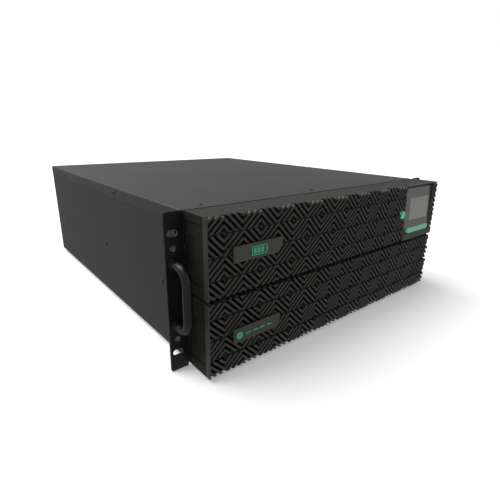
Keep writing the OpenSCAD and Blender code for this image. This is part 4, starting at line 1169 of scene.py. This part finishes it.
class RACKUNIT_OT_fans(bpy.types.Operator):
    """Builds the fan rotors and wire guards"""

    bl_idname = "rackunit.fans"
    bl_label = "Fans"

    def execute(self, context):
        dress("fan_frames", "fan_plastic", 0.0006)
        for side in ("left", "right"):
            self.rotor(side)
        self.guards()
        return {"FINISHED"}

    def rotor(self, side):
        """Hub and curved blades."""
        low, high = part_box("fan_rotor_" + side)
        middle = (low + high) / 2
        reach = (high.z - low.z) / 2
        hub, blades, depth = 0.017, 7, high.y - low.y
        shell = Shell()
        profile = [(0.0, 0.0), (hub * 0.8, 0.0), (hub * 0.95, 0.0008), (hub, 0.0025),
                   (hub, depth - 0.001), (hub - 0.001, depth), (0.0, depth)]
        shell.add(*lathe(profile, 48), pointing((0, 1, 0), (middle.x, low.y, middle.z)))
        for blade in range(blades):
            self.blade(shell, 2 * math.pi * blade / blades, middle, hub, reach, low.y, depth)
        shell.piece("fan_impeller_" + side, "fan_plastic", side + "_fan",
                    ("fan_rotor_" + side,), 40.0)

    def blade(self, shell, turn, middle, hub, reach, start, depth):
        """One twisted blade."""
        rows, cols, thick = 7, 8, 0.0009
        points = []
        for face in (-1, 1):
            for i in range(rows):
                t = i / (rows - 1)
                radius = hub - 0.001 + (reach - hub + 0.001) * t
                for j in range(cols):
                    u = j / (cols - 1) - 0.5
                    sweep = turn + (0.62 + 0.06 * t) * u + 0.16 * t * t
                    bulge = 0.0016 * (1 - 4 * u * u)
                    y = start + depth * (0.5 + 0.72 * u) + bulge + face * thick / 2
                    points.append((middle.x + radius * math.cos(sweep), y,
                                   middle.z + radius * math.sin(sweep)))
        size = rows * cols
        faces = []
        for i in range(rows - 1):
            for j in range(cols - 1):
                a = i * cols + j
                faces.append((a, a + 1, a + cols + 1, a + cols))
                faces.append((size + a, size + a + cols, size + a + cols + 1, size + a + 1))
        rim = [j for j in range(cols)] + [i * cols + cols - 1 for i in range(1, rows)]
        rim += [(rows - 1) * cols + j for j in range(cols - 2, -1, -1)]
        rim += [i * cols for i in range(rows - 2, 0, -1)]
        for a, b in zip(rim, rim[1:] + rim[:1]):
            faces.append((a, size + a, size + b, b))
        shell.add(points, faces)

    def guards(self):
        """Round wire rings, two struts and four eyes on each fan."""
        shell = Shell()
        boxes = islands("fan_frames")
        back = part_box("fan_guards")[0].y
        wire, strut, rings, sides = 0.0007, 0.0008, 4, 56
        for low, high in boxes:
            middle = (low + high) / 2
            size = high.x - low.x
            for k in range(1, rings + 1):
                radius = k * size / (2 * rings + 1) + strut
                path = [(middle.x + radius * math.cos(a), back + wire,
                         middle.z + radius * math.sin(a))
                        for a in (2 * math.pi * i / sides for i in range(sides))]
                shell.add(*tube(path, wire, 8, True))
            for quarter in range(2):
                a = math.pi / 4 + quarter * math.pi / 2
                way = Vector((math.cos(a), 0.0, math.sin(a))) * size * 0.52
                at = Vector((middle.x, back + 2 * wire + strut, middle.z))
                shell.add(*tube([at - way, at + way], strut, 10))
            for quarter in range(4):
                a = math.pi / 4 + quarter * math.pi / 2
                at = (middle.x + math.cos(a) * size * 0.54, back,
                      middle.z + math.sin(a) * size * 0.54)
                eye = [(0.0, 0.0), (0.003, 0.0), (0.003, 0.0017), (0.0026, 0.0021),
                       (0.002, 0.0029), (0.0, 0.003)]
                shell.add(*lathe(eye, 20), pointing((0, 1, 0), at))
        shell.piece("fan_wire_guards", "guard_wire", "chassis", ("fan_guards",), 50.0)


class RACKUNIT_OT_rear(bpy.types.Operator):
    """Finishes the outlets, terminals, ports and breaker at the rear"""

    bl_idname = "rackunit.rear"
    bl_label = "Rear fittings"

    def execute(self, context):
        dress("outlet_block", "socket_plastic", 0.0004)
        dress("terminal_block", "socket_plastic", 0.0006)
        dress("terminal_skirt", "case_paint", 0.0004)
        dress("terminal_cover", "case_paint", 0.0004)
        dress("battery_port", "socket_plastic", 0.0005)
        dress("network_cover", "zinc_sheet", 0.0003)
        dress("port_panel", "zinc_sheet", 0.0003)
        dress("breaker_body", "socket_plastic", 0.0006)
        dress("breaker_lever", "lever_plastic", 0.0006)
        dress("ground_stud", "stud_brass", 0.0002)
        return {"FINISHED"}


class RACKUNIT_OT_packs(bpy.types.Operator):
    """Finishes the battery packs"""

    bl_idname = "rackunit.packs"
    bl_label = "Battery packs"

    def execute(self, context):
        for side in ("left", "right"):
            dress("battery_tray_" + side, "zinc_sheet", 0.0003)
            dress("battery_cells_" + side, "cell_case", 0.0012, 3)
            dress("battery_plug_" + side, "plug_red", 0.0008)
            dress("battery_pull_" + side, "latch_plastic", 0.0008)
            self.terminals(side)
        return {"FINISHED"}

    def terminals(self, side):
        """Two terminals on each block and bus bars between neighbours."""
        posts, bars = Shell(), Shell()
        collar = [(0.0, 0.0), (0.0045, 0.0), (0.0045, 0.0008), (0.0034, 0.0011),
                  (0.0034, 0.0018), (0.0028, 0.0021), (0.0, 0.0021)]
        half, rise, thick = 0.005, 0.0009, 0.0006
        last = None
        for low, high in islands("battery_cells_" + side):
            wide = high.x - low.x
            places = [Vector((low.x + wide * share, high.y - 0.014, high.z))
                      for share in (0.2, 0.8)]
            for at in places:
                posts.add(*lathe(collar, 20), pointing((0, 0, 1), at))
            if last and abs(last[0].x - places[0].x) < half:
                start, end = last[0], places[0]
                outline = [(start.x - half, start.z + rise), (start.x + half, start.z + rise),
                           (start.x + half, start.z + rise + thick),
                           (start.x - half, start.z + rise + thick)]
                bars.add(*prism(outline, start.y - half, end.y + half))
            last = places
        posts.piece("block_terminals_" + side, "stud_brass", "battery_" + side)
        bars.piece("block_bus_bars_" + side, "screw_zinc", "battery_" + side, bevel=0.0002)


class RACKUNIT_OT_power(bpy.types.Operator):
    """Finishes the power board and its parts"""

    bl_idname = "rackunit.power"
    bl_label = "Power board"

    def execute(self, context):
        dress("power_board", "circuit_board", 0.0002)
        dress("heatsinks", "heatsink_alloy", 0.0003)
        dress("capacitors", "capacitor_sleeve", 0.001)
        dress("chokes", "choke_winding", 0.002)
        return {"FINISHED"}


class RACKUNIT_OT_stage(bpy.types.Operator):
    """Makes the floor, the light and the camera"""

    bl_idname = "rackunit.stage"
    bl_label = "Stage"

    def execute(self, context):
        s = context.scene.rackunit_stage
        scene = context.scene
        self.floor()
        self.world(s.ambient)
        self.sun("key_light", s.key, s.key_from, s.key_spread)
        self.sun("fill_light", s.fill, s.fill_from, s.key_spread)
        camera = bpy.data.objects.new("camera", bpy.data.cameras.new("camera"))
        scene.collection.objects.link(camera)
        camera.data.lens = s.lens
        camera.data.sensor_width = 36.0
        camera.data.clip_start = 0.01
        camera.data.clip_end = 100.0
        turn = Matrix.Rotation(-s.heading, 4, "Z") @ Matrix.Rotation(
            math.pi / 2 - s.pitch_down, 4, "X") @ Matrix.Rotation(s.roll, 4, "Z")
        camera.matrix_world = Matrix.Translation(s.camera_place) @ turn
        scene.camera = camera
        scene.view_settings.view_transform = "Standard"
        scene.view_settings.look = "None"
        return {"FINISHED"}

    def floor(self):
        """A large matt floor under the lowest point of the unit."""
        below, reach = 0.0002, 40.0
        level = CAD_BOX[0].z - below
        mesh = bpy.data.meshes.new("studio_floor")
        corners = [(-reach, -reach, level), (reach, -reach, level), (reach, reach, level),
                   (-reach, reach, level)]
        mesh.from_pydata(corners, [], [(0, 1, 2, 3)])
        floor = bpy.data.objects.new("studio_floor", mesh)
        bpy.context.scene.collection.objects.link(floor)
        mesh.materials.append(floor_finish("studio_floor_paint", (0.99, 0.99, 0.99)))
        floor.visible_diffuse = False
        floor.visible_glossy = False
        floor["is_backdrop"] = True

    def world(self, strength):
        """White behind the unit, and an even grey light from all round."""
        world = bpy.data.worlds.new("studio")
        world.use_nodes = True
        tree = world.node_tree
        light = tree.nodes["Background"]
        light.inputs["Color"].default_value = (1.0, 1.0, 1.0, 1.0)
        light.inputs["Strength"].default_value = strength
        backdrop = tree.nodes.new("ShaderNodeBackground")
        backdrop.inputs["Color"].default_value = (1.0, 1.0, 1.0, 1.0)
        path = tree.nodes.new("ShaderNodeLightPath")
        choice = tree.nodes.new("ShaderNodeMixShader")
        tree.links.new(path.outputs["Is Camera Ray"], choice.inputs[0])
        tree.links.new(light.outputs[0], choice.inputs[1])
        tree.links.new(backdrop.outputs[0], choice.inputs[2])
        tree.links.new(choice.outputs[0], tree.nodes["World Output"].inputs["Surface"])
        bpy.context.scene.world = world

    def sun(self, name, strength, source, spread):
        """A wide, soft light."""
        lamp = bpy.data.lights.new(name, "SUN")
        lamp.energy = strength
        lamp.angle = spread
        holder = bpy.data.objects.new(name, lamp)
        bpy.context.scene.collection.objects.link(holder)
        holder.rotation_euler = Vector(source).to_track_quat("Z", "Y").to_euler()


# ---------------------------------------------------------------- add-on

OPERATORS = (
    RACKUNIT_OT_finishes, RACKUNIT_OT_case, RACKUNIT_OT_handles, RACKUNIT_OT_screws,
    RACKUNIT_OT_bezels, RACKUNIT_OT_grilles, RACKUNIT_OT_plates, RACKUNIT_OT_display,
    RACKUNIT_OT_fans, RACKUNIT_OT_rear, RACKUNIT_OT_packs, RACKUNIT_OT_power,
    RACKUNIT_OT_stage,
)


class RACKUNIT_PT_panel(bpy.types.Panel):
    """Lists the settings and the build steps."""

    bl_idname = "RACKUNIT_PT_panel"
    bl_label = "Rack unit"
    bl_space_type = "VIEW_3D"
    bl_region_type = "UI"
    bl_category = "Rack unit"

    def draw(self, context):
        scene = context.scene
        for group in (getattr(scene, name) for name in GROUPS):
            box = self.layout.box()
            for name in group.__annotations__:
                box.prop(group, name)
        for operator in OPERATORS:
            self.layout.operator(operator.bl_idname)


GROUPS = {
    "rackunit_grille": RACKUNIT_PG_grille,
    "rackunit_display": RACKUNIT_PG_display,
    "rackunit_finish": RACKUNIT_PG_finish,
    "rackunit_stage": RACKUNIT_PG_stage,
}


def register():
    """Registers the classes and the settings."""
    for cls in (*GROUPS.values(), *OPERATORS, RACKUNIT_PT_panel):
        bpy.utils.register_class(cls)
    for name, group in GROUPS.items():
        setattr(bpy.types.Scene, name, PointerProperty(type=group))


def unregister():
    """Takes the settings and the classes away again."""
    for name in GROUPS:
        delattr(bpy.types.Scene, name)
    for cls in reversed((*GROUPS.values(), *OPERATORS, RACKUNIT_PT_panel)):
        bpy.utils.unregister_class(cls)


def main():
    """Builds the whole unit."""
    register()
    for operator in OPERATORS:
        family, name = operator.bl_idname.split(".")
        getattr(getattr(bpy.ops, family), name)()


if __name__ == "__main__":
    main()
